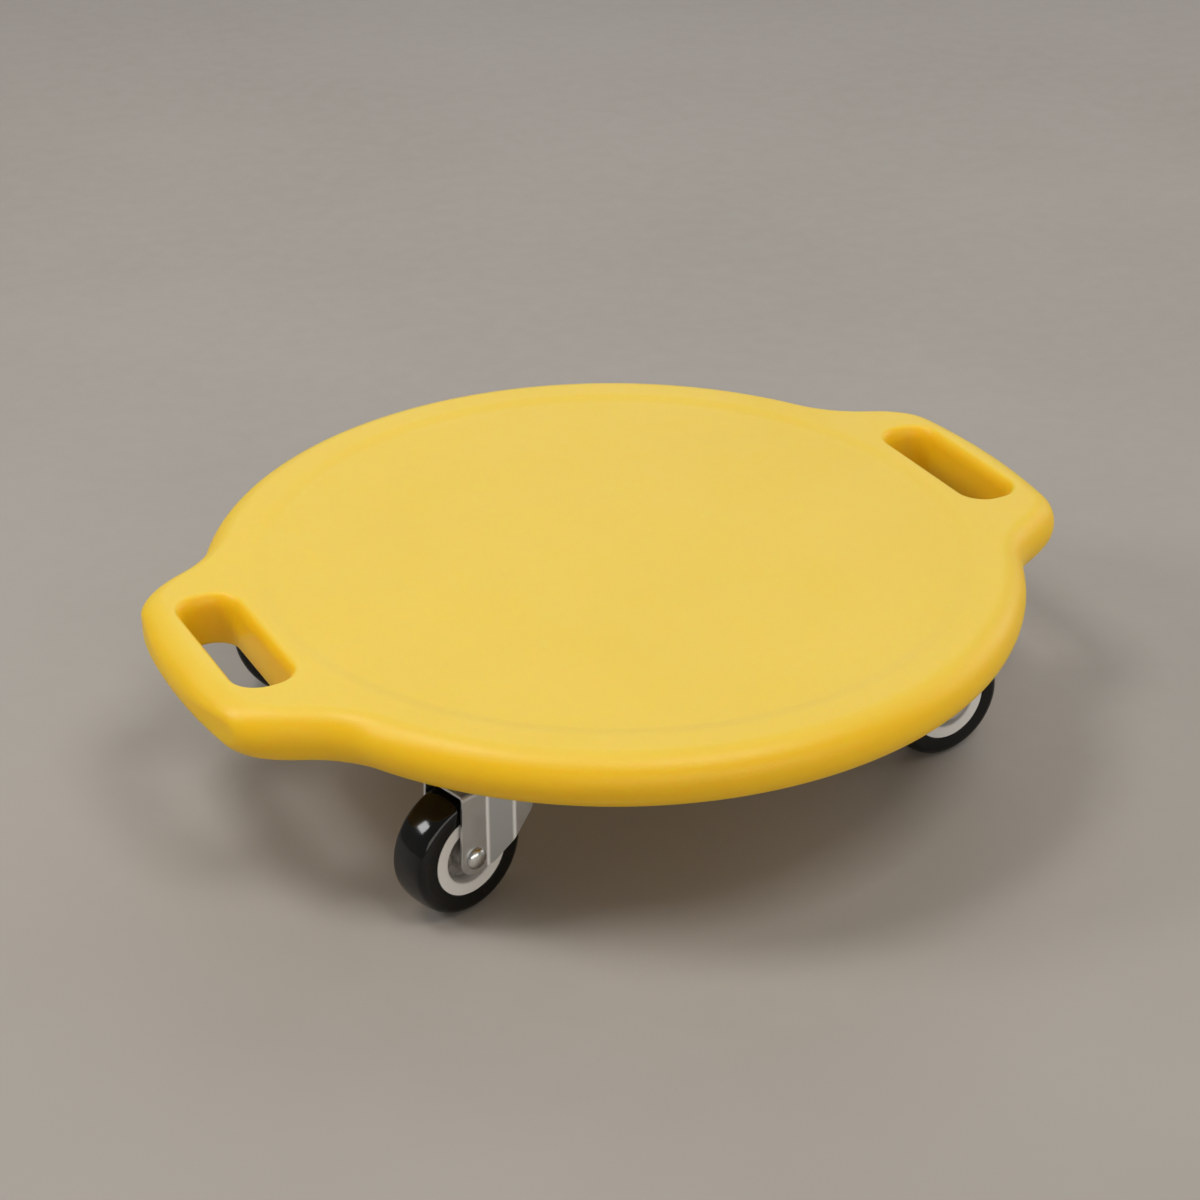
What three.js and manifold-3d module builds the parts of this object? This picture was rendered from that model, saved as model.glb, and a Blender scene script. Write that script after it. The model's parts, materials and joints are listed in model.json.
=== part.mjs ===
// A round ride-on board of hollow moulded plastic with two hand holes, carried by four swivel casters.
// Millimetres, Z up. The origin is on the ground under the middle of the board; X runs through the handles.

import * as THREE from "three";
import { mergeVertices } from "three/addons/utils/BufferGeometryUtils.js";
import Module from "manifold-3d";

const wasm = await Module();
wasm.setup();

// Gaps shared by all pieces

const seatGap = 0.3; // between two pieces that rest on each other or turn in each other
const overrun = 1; // how far a cutter runs past what it cuts

// Wheel

const wheelRadius = 30.5;
const wheelWidth = 22;
const tyreShoulder = 4; // radius of the round between tread and side
const treadFlat = 6; // width of the level middle of the tread
const treadCrown = 0.6; // how far the tread falls from there to the shoulders
const tyreSideFall = 0.5; // how far the side leans in from the shoulder to the hub
const hubRadius = 19.9;
const hubRimInner = 14;
const hubPocketRadius = 12.2;
const hubPocketDepth = 5.5;
const hubBossRadius = 8.2;
const hubBossOver = 0.5; // how far the boss stands out past the rim
const bushRadius = 5;

// Axle

const axleRadius = 3;
const axleHeadRadius = 5.4;
const axleHeadHeight = 2.8;
const axleTailRadius = 4.4;
const axleTailHeight = 1.5;

// Fork, pressed from one sheet

const forkSheet = 1.5;
const wheelSideGap = 1; // between wheel and leg
const wheelTopGap = 2.5; // between tyre and crown
const trail = 30; // swivel axis to axle
const forkTail = 36.8; // swivel axis to the crown's open end
const headRadius = 19; // round end of the crown
const flareStart = 23; // where the legs start to spread, from the swivel axis
const flareEnd = 11.5; // where they have spread
const legEndRadius = 8.5; // round end of a leg, about the axle
const heelRun = 7.5; // axle to the corner under the front of a leg
const frontLowRun = 10.5; // axle to the low end of the leg's slanted front edge
const frontLowDrop = 4.9;
const frontTopRun = 3.2; // swivel axis to the high end of that edge
const frontTopDrop = 20.6; // below the crown
const throatRun = 0.4; // how far the upright stretch of the front edge stands ahead of the swivel axis
const throatDrop = 10;
const skirtDrop = 8; // height of the turned down edge round the head

// Swivel head

const pinRadius = 4;
const pinHeadRadius = 7;
const pinTopHeadHeight = 2.4;
const pinLowHeadHeight = 2.6;
const ballRadius = 2.3;
const ballRing = 10.6;
const ballCount = 8;
const cageThickness = 1.2;
const lipInner = 14.4; // raised lip that keeps the balls in
const lipThickness = 1.8;
const lipHeight = 3.8;
const dishFloorRadius = 13.2; // pressed dish of the top plate
const dishSlopeRun = 3.8;
const dishDrop = 4;
const cupRadius = 12;
const cupSheet = 1.6;
const cupWallHeight = 2.2;
const washerRadius = 10; // plain washer between cup and crown
const washerThickness = 2.8;

// Top plate and its screws

const plateSide = 60;
const plateCorner = 6;
const plateSheet = 2.5;
const screwSpacing = 45;
const slotHalfWidth = 2.9;
const slotLength = 10;
const screwShank = 2.3;
const screwLength = 20;
const screwTip = 3;
const screwHeadRadius = 4.7;
const screwHeadHeight = 3;

// Where the casters stand, and which way each wheel trails at rest, in degrees from X

const swivelX = 104;
const swivelY = 91;
const casterPlaces = [
  { name: "near_left", sideX: -1, sideY: -1, turn: -164.9 },
  { name: "near_right", sideX: 1, sideY: -1, turn: 3 },
  { name: "far_left", sideX: -1, sideY: 1, turn: 136 },
  { name: "far_right", sideX: 1, sideY: 1, turn: 62 },
];

// Board

const boardRadius = 200;
const boardThickness = 27;
const boardWall = 3.5;
const handleReach = 228.5; // middle of the board to the outside of a handle
const handleBow = 320; // radius of the handle's outer side
const handleHalf = 77; // half of a handle's length
const handleCorner = 27; // radius of the round at its ends
const handleRoot = 21; // radius of the hollow between handle and round
const ringRadius = 177; // inner edge of the raised ring
const ringStep = 10; // width of the soft step down from it
const ringHeight = 1.4;
const padSide = 66; // raised seats for the casters
const padCorner = 8;
const padHeight = 1.2;
const pillarRadius = 7; // solid posts round the screws
const pilotEndGap = 2; // room past a screw's tip

// Hand holes

const holeInner = 183; // middle of the board to the inner wall
const holeOuter = 209.2;
const holeHalf = 44;
const holeCorner = 11.5;
const holeLipWidth = 3.8; // rounded lip that the palm lies on
const holeLipDepth = 8;
const holeUnderRound = 2.5; // radius of the round at the lower mouth

// Pinch cones that tie the underside to the top

const coneRing = 62;
const coneCount = 6;
const coneMouth = 9;
const coneEnd = 4.5;
const coneWall = 3;
const coneRoof = 4.5; // plastic left over a cone's end

// Blow hole and its plug

const ventRadius = 4;
const ventBossRadius = 9;
const ventBossHeight = 7;
const plugHeadRadius = 7.5;
const plugHeadHeight = 1.6;
const plugLength = 9;

// Heights, worked up from the ground

const axleHeight = wheelRadius;
const crownUnder = 2 * wheelRadius + wheelTopGap;
const crownTop = crownUnder + forkSheet;
const dishUnder = crownTop + 2 * (ballRadius + seatGap);
const plateUnder = dishUnder + dishDrop;
const plateTop = plateUnder + plateSheet;
const padUnder = plateTop + seatGap;
const boardUnder = padUnder + padHeight;
const boardTop = boardUnder + boardThickness;
const boardMiddle = (boardUnder + boardTop) / 2;
const rimRadius = boardThickness / 2;
const cupTop = crownUnder - washerThickness - 2 * seatGap;
const cupUnder = cupTop - cupSheet;
const legInner = wheelWidth / 2 + wheelSideGap;
const legOuter = legInner + forkSheet;

// How finely round shapes are cut

const tyreSides = 32;
const tyreShoulderSteps = 3;
const hubSides = 20;
const turnedSides = 12;
const screwSides = 8;
const raceSides = 16;
const pillarSides = 6;
const sheetCornerSteps = 2; // curves of the top plate and the raised seats
const forkPlanSteps = 8;
const forkSideSteps = 4;
const bodySteps = [3, 9, 7]; // handle, flank and round of each quarter
const bodyRimSteps = 5;
const hollowSteps = [2, 4, 4];
const hollowRimSteps = 2;
const mouthSteps = 3;
const mouthCornerSteps = 4;
const sleeveCornerSteps = 2;

const fullTurn = 2 * Math.PI;
const quarterTurn = Math.PI / 2;
const eighthTurn = Math.PI / 4;

// Solids

// A three.js geometry as a solid that can be joined and cut.
function solidOf(geometry) {
  const bare = geometry.clone();
  bare.deleteAttribute("normal");
  bare.deleteAttribute("uv");
  const merged = mergeVertices(bare);
  return new wasm.Manifold(
    new wasm.Mesh({
      numProp: 3,
      vertProperties: merged.attributes.position.array,
      triVerts: new Uint32Array(merged.index.array),
    }),
  );
}

// A solid as a three.js geometry.
function geometryOf(solid) {
  const mesh = solid.getMesh();
  const geometry = new THREE.BufferGeometry();
  geometry.setAttribute("position", new THREE.BufferAttribute(mesh.vertProperties, 3));
  geometry.setIndex(new THREE.BufferAttribute(mesh.triVerts, 1));
  geometry.computeVertexNormals();
  return geometry;
}

function joined(solids) {
  return solids.reduce((whole, solid) => whole.add(solid));
}

function cut(solid, cutters) {
  return cutters.reduce((rest, cutter) => rest.subtract(cutter), solid);
}

// A profile of [radius, height] pairs turned about Y.
function turnedAboutY(profile, sides) {
  return new THREE.LatheGeometry(
    profile.map(([radius, height]) => new THREE.Vector2(radius, height)),
    sides,
  );
}

// The same, turned about Z.
function turnedAboutZ(profile, sides) {
  return turnedAboutY(profile, sides).rotateX(quarterTurn);
}

// A flat shape raised between two heights.
function raised(shape, low, high, curveSegments) {
  return new THREE.ExtrudeGeometry(shape, {
    depth: high - low,
    bevelEnabled: false,
    curveSegments,
  }).translate(0, 0, low);
}

// A round post between two heights, as wide at its foot as foot and at its head as head.
function post(x, y, foot, head, low, high, sides) {
  return new THREE.CylinderGeometry(head, foot, high - low, sides)
    .rotateX(quarterTurn)
    .translate(x, y, (low + high) / 2);
}

// A rectangle with round corners, centred on a point.
function roundedRectangle(x, y, width, depth, corner) {
  const shape = new THREE.Shape();
  const right = x + width / 2 - corner;
  const left = x - width / 2 + corner;
  const back = y + depth / 2 - corner;
  const front = y - depth / 2 + corner;
  shape.absarc(right, back, corner, 0, quarterTurn);
  shape.absarc(left, back, corner, quarterTurn, Math.PI);
  shape.absarc(left, front, corner, Math.PI, Math.PI + quarterTurn);
  shape.absarc(right, front, corner, Math.PI + quarterTurn, fullTurn);
  return shape;
}

// A closed skin over rings of [x, y, z] points, listed from the bottom up, with flat ends.
function lofted(rings) {
  const count = rings[0].length;
  const positions = rings.flat(2);
  const triangles = [];
  for (let level = 0; level + 1 < rings.length; level++) {
    for (let i = 0; i < count; i++) {
      const next = (i + 1) % count;
      const low = level * count;
      const high = low + count;
      triangles.push(low + i, low + next, high + next);
      triangles.push(low + i, high + next, high + i);
    }
  }
  const outline = rings[0].map(([x, y]) => new THREE.Vector2(x, y));
  const last = (rings.length - 1) * count;
  for (const [a, b, c] of THREE.ShapeUtils.triangulateShape(outline, [])) {
    triangles.push(c, b, a);
    triangles.push(last + a, last + b, last + c);
  }
  const geometry = new THREE.BufferGeometry();
  geometry.setAttribute("position", new THREE.Float32BufferAttribute(positions, 3));
  geometry.setIndex(triangles);
  return geometry;
}

// Board outline

const cornerAngle = Math.asin((handleHalf - handleCorner) / handleReach);
const footAngle = Math.asin((handleHalf + handleRoot) / boardRadius);

function smoothStep(value) {
  const share = Math.min(Math.max(value, 0), 1);
  return share * share * (3 - 2 * share);
}

// Two shapes as one, given by how far a point lies outside each, with a hollow round between them.
function roundedJoin(first, second, radius) {
  const hollow = Math.hypot(Math.max(radius - first, 0), Math.max(radius - second, 0));
  return Math.max(radius, Math.min(first, second)) - hollow;
}

// What two shapes have in common, with rounded corners.
function roundedMeet(first, second, radius) {
  return -roundedJoin(-first, -second, radius);
}

// How far a point lies outside the board's outline; below zero inside it.
function outsideBy(x, y) {
  const round = Math.hypot(x, y) - boardRadius;
  const side = Math.hypot(Math.abs(x) - handleReach + handleBow, y) - handleBow;
  const end = Math.abs(y) - handleHalf;
  return roundedJoin(round, roundedMeet(side, end, handleCorner), handleRoot);
}

// Directions all round the board, closer together where the outline bends.
function outlineAngles([handleSteps, flankSteps, roundSteps]) {
  const quarter = [];
  const stretches = [
    [0, cornerAngle, handleSteps],
    [cornerAngle, footAngle, flankSteps],
    [footAngle, quarterTurn, roundSteps],
  ];
  for (const [start, end, steps] of stretches) {
    for (let i = 0; i < steps; i++) quarter.push(start + ((end - start) * i) / steps);
  }
  const mirrored = quarter.slice(1).reverse();
  const half = [...quarter, quarterTurn, ...mirrored.map((angle) => Math.PI - angle)];
  return [...half, ...half.map((angle) => angle + Math.PI)];
}

// How far out a point lies that is a given way inside the outline, in a given direction.
function radiusAtDepth(angle, depth) {
  let inside = ringRadius;
  let outside = handleReach + overrun;
  const halvings = 24;
  for (let i = 0; i < halvings; i++) {
    const middle = (inside + outside) / 2;
    if (outsideBy(middle * Math.cos(angle), middle * Math.sin(angle)) < -depth) inside = middle;
    else outside = middle;
  }
  return (inside + outside) / 2;
}

// A board shaped solid that lies a given way inside the real one, with its half round rim.
function boardBody(inset, angles, rimSteps) {
  const round = rimRadius - inset;
  const positions = [];
  const stepRadii = [ringRadius, ringRadius - ringStep / 2, ringRadius - ringStep];
  const ringCount = rimSteps + 1 + stepRadii.length;
  const columns = angles.map((angle) => {
    const tops = [];
    const bottoms = [];
    const place = (radius, height) => {
      positions.push(radius * Math.cos(angle), radius * Math.sin(angle), height);
      return positions.length / 3 - 1;
    };
    for (let step = 0; step <= rimSteps; step++) {
      const tilt = (quarterTurn * step) / rimSteps;
      const radius = radiusAtDepth(angle, inset + round * (1 - Math.cos(tilt)));
      const rise = round * Math.sin(tilt);
      tops.push(place(radius, boardMiddle + rise));
      bottoms.push(step === 0 ? tops[0] : place(radius, boardMiddle - rise));
    }
    for (const radius of stepRadii) {
      const fall = ringHeight * smoothStep((ringRadius - radius) / ringStep);
      tops.push(place(radius, boardMiddle + round - fall));
      bottoms.push(place(radius, boardMiddle - round));
    }
    return { tops, bottoms };
  });
  positions.push(0, 0, boardMiddle + round - ringHeight);
  const topCentre = positions.length / 3 - 1;
  positions.push(0, 0, boardMiddle - round);
  const bottomCentre = topCentre + 1;
  const triangles = [];
  columns.forEach((column, i) => {
    const next = columns[(i + 1) % columns.length];
    for (let ring = 0; ring + 1 < ringCount; ring++) {
      triangles.push(column.tops[ring], next.tops[ring], next.tops[ring + 1]);
      triangles.push(column.tops[ring], next.tops[ring + 1], column.tops[ring + 1]);
      triangles.push(next.bottoms[ring], column.bottoms[ring], column.bottoms[ring + 1]);
      triangles.push(next.bottoms[ring], column.bottoms[ring + 1], next.bottoms[ring + 1]);
    }
    triangles.push(column.tops.at(-1), next.tops.at(-1), topCentre);
    triangles.push(next.bottoms.at(-1), column.bottoms.at(-1), bottomCentre);
  });
  const geometry = new THREE.BufferGeometry();
  geometry.setAttribute("position", new THREE.Float32BufferAttribute(positions, 3));
  geometry.setIndex(triangles);
  return solidOf(geometry);
}

// Hand holes

// Outline of a hand hole with its walls moved out by an offset, as [x, y] points.
function holeOutline(side, offset, cornerSteps) {
  const middle = (holeInner + holeOuter) / 2;
  const acrossCentre = (holeOuter - holeInner) / 2 - holeCorner;
  const alongCentre = holeHalf - holeCorner;
  const corners = [
    [1, 1, 0],
    [-1, 1, quarterTurn],
    [-1, -1, Math.PI],
    [1, -1, Math.PI + quarterTurn],
  ];
  const points = [];
  for (const [acrossSide, alongSide, start] of corners) {
    for (let step = 0; step <= cornerSteps; step++) {
      const angle = start + (quarterTurn * step) / cornerSteps;
      const across = acrossSide * acrossCentre + (holeCorner + offset) * Math.cos(angle);
      const along = alongSide * alongCentre + (holeCorner + offset) * Math.sin(angle);
      points.push([side * (middle + across), side * along]);
    }
  }
  return points;
}

// A solid of a hand hole's outline, from [height, offset] pairs listed from the bottom up.
function holeSolid(side, levels, cornerSteps) {
  const rings = levels.map(([z, offset]) =>
    holeOutline(side, offset, cornerSteps).map((point) => [...point, z]),
  );
  return solidOf(lofted(rings));
}

// The curve of a rounded mouth from the wall outwards, as [depth, offset] pairs.
function mouthCurve(width, depth) {
  return Array.from({ length: mouthSteps + 1 }, (_, step) => {
    const tilt = (quarterTurn * step) / mouthSteps;
    return [depth * (1 - Math.sin(tilt)), width * (1 - Math.cos(tilt))];
  });
}

// The space of a hand hole, widened at both mouths.
function holeCutter(side) {
  const low = mouthCurve(holeUnderRound, holeUnderRound).reverse();
  const high = mouthCurve(holeLipWidth, holeLipDepth);
  const levels = [
    [boardUnder - overrun, holeUnderRound],
    ...low.map(([depth, offset]) => [boardUnder + depth, offset]),
    ...high.map(([depth, offset]) => [boardTop - depth, offset]),
    [boardTop + overrun, holeLipWidth],
  ];
  return holeSolid(side, levels, mouthCornerSteps);
}

// The plastic left standing round a hand hole, inside the hollow board.
function holeSleeve(side) {
  const foot = [boardUnder, boardWall];
  const head = [boardTop, boardWall];
  return holeSolid(side, [foot, head], sleeveCornerSteps);
}

// Board

function ringOfSpots(count, radius) {
  return Array.from({ length: count }, (_, i) => {
    const angle = (fullTurn * i) / count;
    return [radius * Math.cos(angle), radius * Math.sin(angle)];
  });
}

const coneSpots = ringOfSpots(coneCount, coneRing);

function screwSpots() {
  const half = screwSpacing / 2;
  return [
    [-half, -half],
    [half, -half],
    [-half, half],
    [half, half],
  ];
}

// A pinch cone with its wall moved out, open below the board.
function coneSolid([x, y], wall) {
  const high = boardTop - ringHeight - coneRoof;
  const slope = (coneMouth - coneEnd) / (high - boardUnder);
  const low = boardUnder - overrun;
  const foot = coneMouth + slope * overrun + wall;
  return solidOf(post(x, y, foot, coneEnd + wall, low, high + wall, turnedSides));
}

// Upright straight posts of one radius at several spots.
function posts(spots, radius, low, high, sides) {
  return spots.map(([x, y]) => solidOf(post(x, y, radius, radius, low, high, sides)));
}

function makeBoard() {
  const middleSpot = [[0, 0]];
  const swivels = casterPlaces.map(({ sideX, sideY }) => [sideX * swivelX, sideY * swivelY]);
  const screws = swivels.flatMap(([x, y]) => screwSpots().map(([dx, dy]) => [x + dx, y + dy]));
  const padHigh = boardUnder + boardWall / 2;
  const pads = swivels.map(([x, y]) => {
    const shape = roundedRectangle(x, y, padSide, padSide, padCorner);
    return solidOf(raised(shape, padUnder, padHigh, sheetCornerSteps));
  });
  const ventBossTop = boardUnder + ventBossHeight;
  const hollow = cut(boardBody(boardWall, outlineAngles(hollowSteps), hollowRimSteps), [
    holeSleeve(1),
    holeSleeve(-1),
    ...posts(screws, pillarRadius, boardUnder, boardTop, pillarSides),
    ...coneSpots.map((spot) => coneSolid(spot, coneWall)),
    ...posts(middleSpot, ventBossRadius, boardUnder, ventBossTop, turnedSides),
  ]);
  const pilotTop = plateUnder + screwLength + pilotEndGap;
  return cut(joined([boardBody(0, outlineAngles(bodySteps), bodyRimSteps), ...pads]), [
    hollow,
    holeCutter(1),
    holeCutter(-1),
    ...posts(screws, screwShank + seatGap, padUnder - overrun, pilotTop, screwSides),
    ...coneSpots.map((spot) => coneSolid(spot, 0)),
    ...posts(middleSpot, ventRadius, boardUnder - overrun, ventBossTop + overrun, turnedSides),
  ]);
}

function makePlug() {
  const under = boardUnder - seatGap;
  const shank = ventRadius - seatGap;
  return turnedAboutZ(
    [
      [0, under - plugHeadHeight],
      [plugHeadRadius - plugHeadHeight, under - plugHeadHeight],
      [plugHeadRadius, under],
      [shank, under],
      [shank, under + plugLength],
      [0, under + plugLength],
    ],
    turnedSides,
  );
}

// Top plate, with the pressed dish that the balls run under

function makeTopPlate() {
  const shape = roundedRectangle(0, 0, plateSide, plateSide, plateCorner);
  const half = slotLength / 2 - slotHalfWidth;
  for (const [x, y] of screwSpots()) {
    const slot = new THREE.Path();
    slot.absarc(x + half, y, slotHalfWidth, -quarterTurn, quarterTurn);
    slot.absarc(x - half, y, slotHalfWidth, quarterTurn, Math.PI + quarterTurn);
    shape.holes.push(slot);
  }
  const mouth = dishFloorRadius + dishSlopeRun;
  const dish = turnedAboutZ(
    [
      [0, dishUnder],
      [dishFloorRadius, dishUnder],
      [mouth, plateUnder],
      [mouth, plateTop],
      [0, plateTop],
    ],
    raceSides,
  );
  const recess = turnedAboutZ(
    [
      [0, dishUnder + plateSheet],
      [dishFloorRadius, dishUnder + plateSheet],
      [mouth, plateTop],
      [mouth, plateTop + overrun],
      [0, plateTop + overrun],
    ],
    raceSides,
  );
  const bore = pinRadius + seatGap;
  const sheet = raised(shape, plateUnder, plateTop, sheetCornerSteps);
  return cut(joined([solidOf(sheet), solidOf(dish)]), [
    solidOf(recess),
    solidOf(post(0, 0, bore, bore, dishUnder - overrun, plateTop, turnedSides)),
  ]);
}

// King pin, a rivet with a flat head in the dish and a round one under the cup

function makeKingPin() {
  const low = cupUnder - seatGap;
  const high = dishUnder + plateSheet + seatGap;
  return turnedAboutZ(
    [
      [0, low - pinLowHeadHeight],
      [pinHeadRadius * Math.cos(eighthTurn), low - pinLowHeadHeight * Math.sin(eighthTurn)],
      [pinHeadRadius, low],
      [pinRadius, low],
      [pinRadius, high],
      [pinHeadRadius, high],
      [pinHeadRadius, high + pinTopHeadHeight],
      [0, high + pinTopHeadHeight],
    ],
    turnedSides,
  );
}

// A row of balls joined by the thin ring that spaces them

function makeBallRow() {
  const middle = (crownTop + dishUnder) / 2;
  const inner = ballRing - cageThickness / 2;
  const outer = ballRing + cageThickness / 2;
  const low = middle - cageThickness / 2;
  const high = middle + cageThickness / 2;
  const cage = turnedAboutZ(
    [
      [inner, low],
      [outer, low],
      [outer, high],
      [inner, high],
      [inner, low],
    ],
    ballCount,
  );
  const balls = ringOfSpots(ballCount, ballRing).map(([x, y]) =>
    solidOf(new THREE.IcosahedronGeometry(ballRadius).translate(x, y, middle)),
  );
  return joined([solidOf(cage), ...balls]);
}

// Plain washer the crown turns on, and the cup that carries it

function makeWasher() {
  const bore = pinRadius + seatGap;
  const low = cupTop + seatGap;
  return turnedAboutZ(
    [
      [bore, low],
      [washerRadius, low],
      [washerRadius, low + washerThickness],
      [bore, low + washerThickness],
      [bore, low],
    ],
    raceSides,
  );
}

function makeRaceCup() {
  const bore = pinRadius + seatGap;
  const wallInner = cupRadius - cupSheet;
  return turnedAboutZ(
    [
      [bore, cupUnder],
      [cupRadius, cupUnder],
      [cupRadius, cupTop + cupWallHeight],
      [wallInner, cupTop + cupWallHeight],
      [wallInner, cupTop],
      [bore, cupTop],
      [bore, cupUnder],
    ],
    raceSides,
  );
}

// Fork, in a frame whose X points from the swivel axis to the axle

// Plan of the fork with its walls moved in by an inset.
function forkPlan(inset, tail) {
  const leg = legOuter - inset;
  const head = headRadius - inset;
  const shape = new THREE.Shape();
  shape.moveTo(tail, leg);
  shape.lineTo(flareStart, leg);
  shape.lineTo(flareEnd, head);
  shape.absarc(0, 0, head, quarterTurn, Math.PI + quarterTurn);
  shape.lineTo(flareEnd, -head);
  shape.lineTo(flareStart, -leg);
  shape.lineTo(tail, -leg);
  return shape;
}

// Side view of the fork, X along the trail and Y up.
function forkSide() {
  const front = -headRadius - overrun;
  const bottom = axleHeight - legEndRadius;
  const skirtUnder = crownTop - skirtDrop;
  const shape = new THREE.Shape();
  shape.moveTo(front, crownTop + overrun);
  shape.lineTo(front, skirtUnder);
  shape.lineTo(-throatRun, skirtUnder);
  shape.lineTo(-throatRun, crownTop - throatDrop);
  const frontTop = crownTop - frontTopDrop;
  shape.quadraticCurveTo(-throatRun, frontTop + frontTopRun, frontTopRun, frontTop);
  shape.lineTo(trail - frontLowRun, axleHeight - frontLowDrop);
  shape.quadraticCurveTo(trail - heelRun, bottom, trail, bottom);
  shape.absarc(trail, axleHeight, legEndRadius, -quarterTurn, 0);
  shape.lineTo(forkTail, crownTop + overrun);
  return shape;
}

function makeFork() {
  const tail = trail + legEndRadius;
  const bottom = axleHeight - legEndRadius;
  const outer = solidOf(raised(forkPlan(0, tail), bottom, crownTop, forkPlanSteps));
  const inside = forkPlan(forkSheet, tail + overrun);
  const inner = solidOf(raised(inside, bottom - overrun, crownUnder, forkPlanSteps));
  const reach = headRadius + overrun;
  const side = solidOf(raised(forkSide(), -reach, reach, forkSideSteps).rotateX(quarterTurn));
  const lip = turnedAboutZ(
    [
      [lipInner, crownUnder],
      [lipInner + lipThickness, crownUnder],
      [lipInner + lipThickness, crownTop + lipHeight],
      [lipInner, crownTop + lipHeight],
      [lipInner, crownUnder],
    ],
    raceSides,
  );
  const pinHole = pinRadius + seatGap;
  const axleHole = axleRadius + seatGap;
  const axleCut = new THREE.CylinderGeometry(axleHole, axleHole, 2 * reach, turnedSides);
  axleCut.translate(trail, 0, axleHeight);
  return cut(joined([outer.subtract(inner).intersect(side), solidOf(lip)]), [
    solidOf(post(0, 0, pinHole, pinHole, crownUnder - overrun, crownTop + overrun, turnedSides)),
    solidOf(axleCut),
  ]);
}

// Wheel pieces, turned about Y, which is the axle

function makeAxle() {
  const start = -legOuter - seatGap;
  const end = legOuter + seatGap;
  return turnedAboutY(
    [
      [0, start - axleTailHeight],
      [axleTailRadius - axleTailHeight / 2, start - axleTailHeight],
      [axleTailRadius, start],
      [axleRadius, start],
      [axleRadius, end],
      [axleHeadRadius, end],
      [axleHeadRadius * Math.cos(eighthTurn), end + axleHeadHeight * Math.sin(eighthTurn)],
      [0, end + axleHeadHeight],
    ],
    turnedSides,
  );
}

function makeBush() {
  const half = legInner - seatGap;
  const bore = axleRadius + seatGap;
  return turnedAboutY(
    [
      [bore, -half],
      [bushRadius, -half],
      [bushRadius, half],
      [bore, half],
      [bore, -half],
    ],
    turnedSides,
  );
}

// A closed profile made of its half below the middle plane and the mirror image of that half.
function mirroredProfile(lower) {
  const upper = [...lower].reverse().map(([radius, height]) => [radius, -height]);
  return [...lower, ...upper, lower[0]];
}

function makeHub() {
  const half = wheelWidth / 2 - tyreSideFall;
  const floor = half - hubPocketDepth;
  return turnedAboutY(
    mirroredProfile([
      [bushRadius + seatGap, -half - hubBossOver],
      [hubBossRadius, -half - hubBossOver],
      [hubBossRadius, -floor],
      [hubPocketRadius, -floor],
      [hubRimInner, -half],
      [hubRadius, -half],
    ]),
    hubSides,
  );
}

function makeTyre() {
  const flat = Math.cos(Math.PI / tyreSides);
  const half = wheelWidth / 2;
  const shoulder = wheelRadius - treadCrown - tyreShoulder;
  const sides = [];
  for (let step = 0; step <= tyreShoulderSteps; step++) {
    const tilt = (quarterTurn * step) / tyreShoulderSteps;
    const radius = shoulder + tyreShoulder * Math.sin(tilt);
    sides.push([radius, -half + tyreShoulder * (1 - Math.cos(tilt))]);
  }
  const profile = mirroredProfile([
    [hubRadius + seatGap, -half + tyreSideFall],
    ...sides,
    [wheelRadius, -treadFlat / 2],
  ]);
  return turnedAboutY(
    profile.map(([radius, height]) => [radius / flat, height]),
    tyreSides,
  ).rotateY(Math.PI / tyreSides);
}

// Pan head screw, driven up through the plate

function makeScrew() {
  const seat = plateUnder - seatGap;
  const crown = seat - screwHeadHeight;
  const end = plateUnder + screwLength;
  return turnedAboutZ(
    [
      [0, crown],
      [screwHeadRadius * Math.cos(eighthTurn), crown],
      [screwHeadRadius, seat - screwHeadHeight * Math.cos(eighthTurn)],
      [screwHeadRadius, seat],
      [screwShank, seat],
      [screwShank, end - screwTip],
      [0, end],
    ],
    screwSides,
  );
}

// Materials

const yellowPlastic = new THREE.MeshStandardMaterial({ color: "#e2bc33", roughness: 0.45, metalness: 0 });
const blackRubber = new THREE.MeshStandardMaterial({ color: "#151513", roughness: 0.25, metalness: 0 });
const greyPlastic = new THREE.MeshStandardMaterial({ color: "#c9c4ba", roughness: 0.5, metalness: 0 });
const zincSteel = new THREE.MeshStandardMaterial({ color: "#a6a8a6", roughness: 0.35, metalness: 1 });
const brightSteel = new THREE.MeshStandardMaterial({ color: "#c3c3c0", roughness: 0.2, metalness: 1 });
const whiteNylon = new THREE.MeshStandardMaterial({ color: "#e6e4dc", roughness: 0.5, metalness: 0 });
const blackPlastic = new THREE.MeshStandardMaterial({ color: "#202020", roughness: 0.6, metalness: 0 });

function piece(name, geometry, material) {
  const mesh = new THREE.Mesh(geometry, material);
  mesh.name = name;
  return mesh;
}

// Assembly

const shapes = {
  topPlate: geometryOf(makeTopPlate()),
  kingPin: makeKingPin(),
  ballRow: geometryOf(makeBallRow()),
  washer: makeWasher(),
  raceCup: makeRaceCup(),
  fork: geometryOf(makeFork()),
  axle: makeAxle(),
  bush: makeBush(),
  hub: makeHub(),
  tyre: makeTyre(),
  screw: makeScrew(),
};

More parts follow.
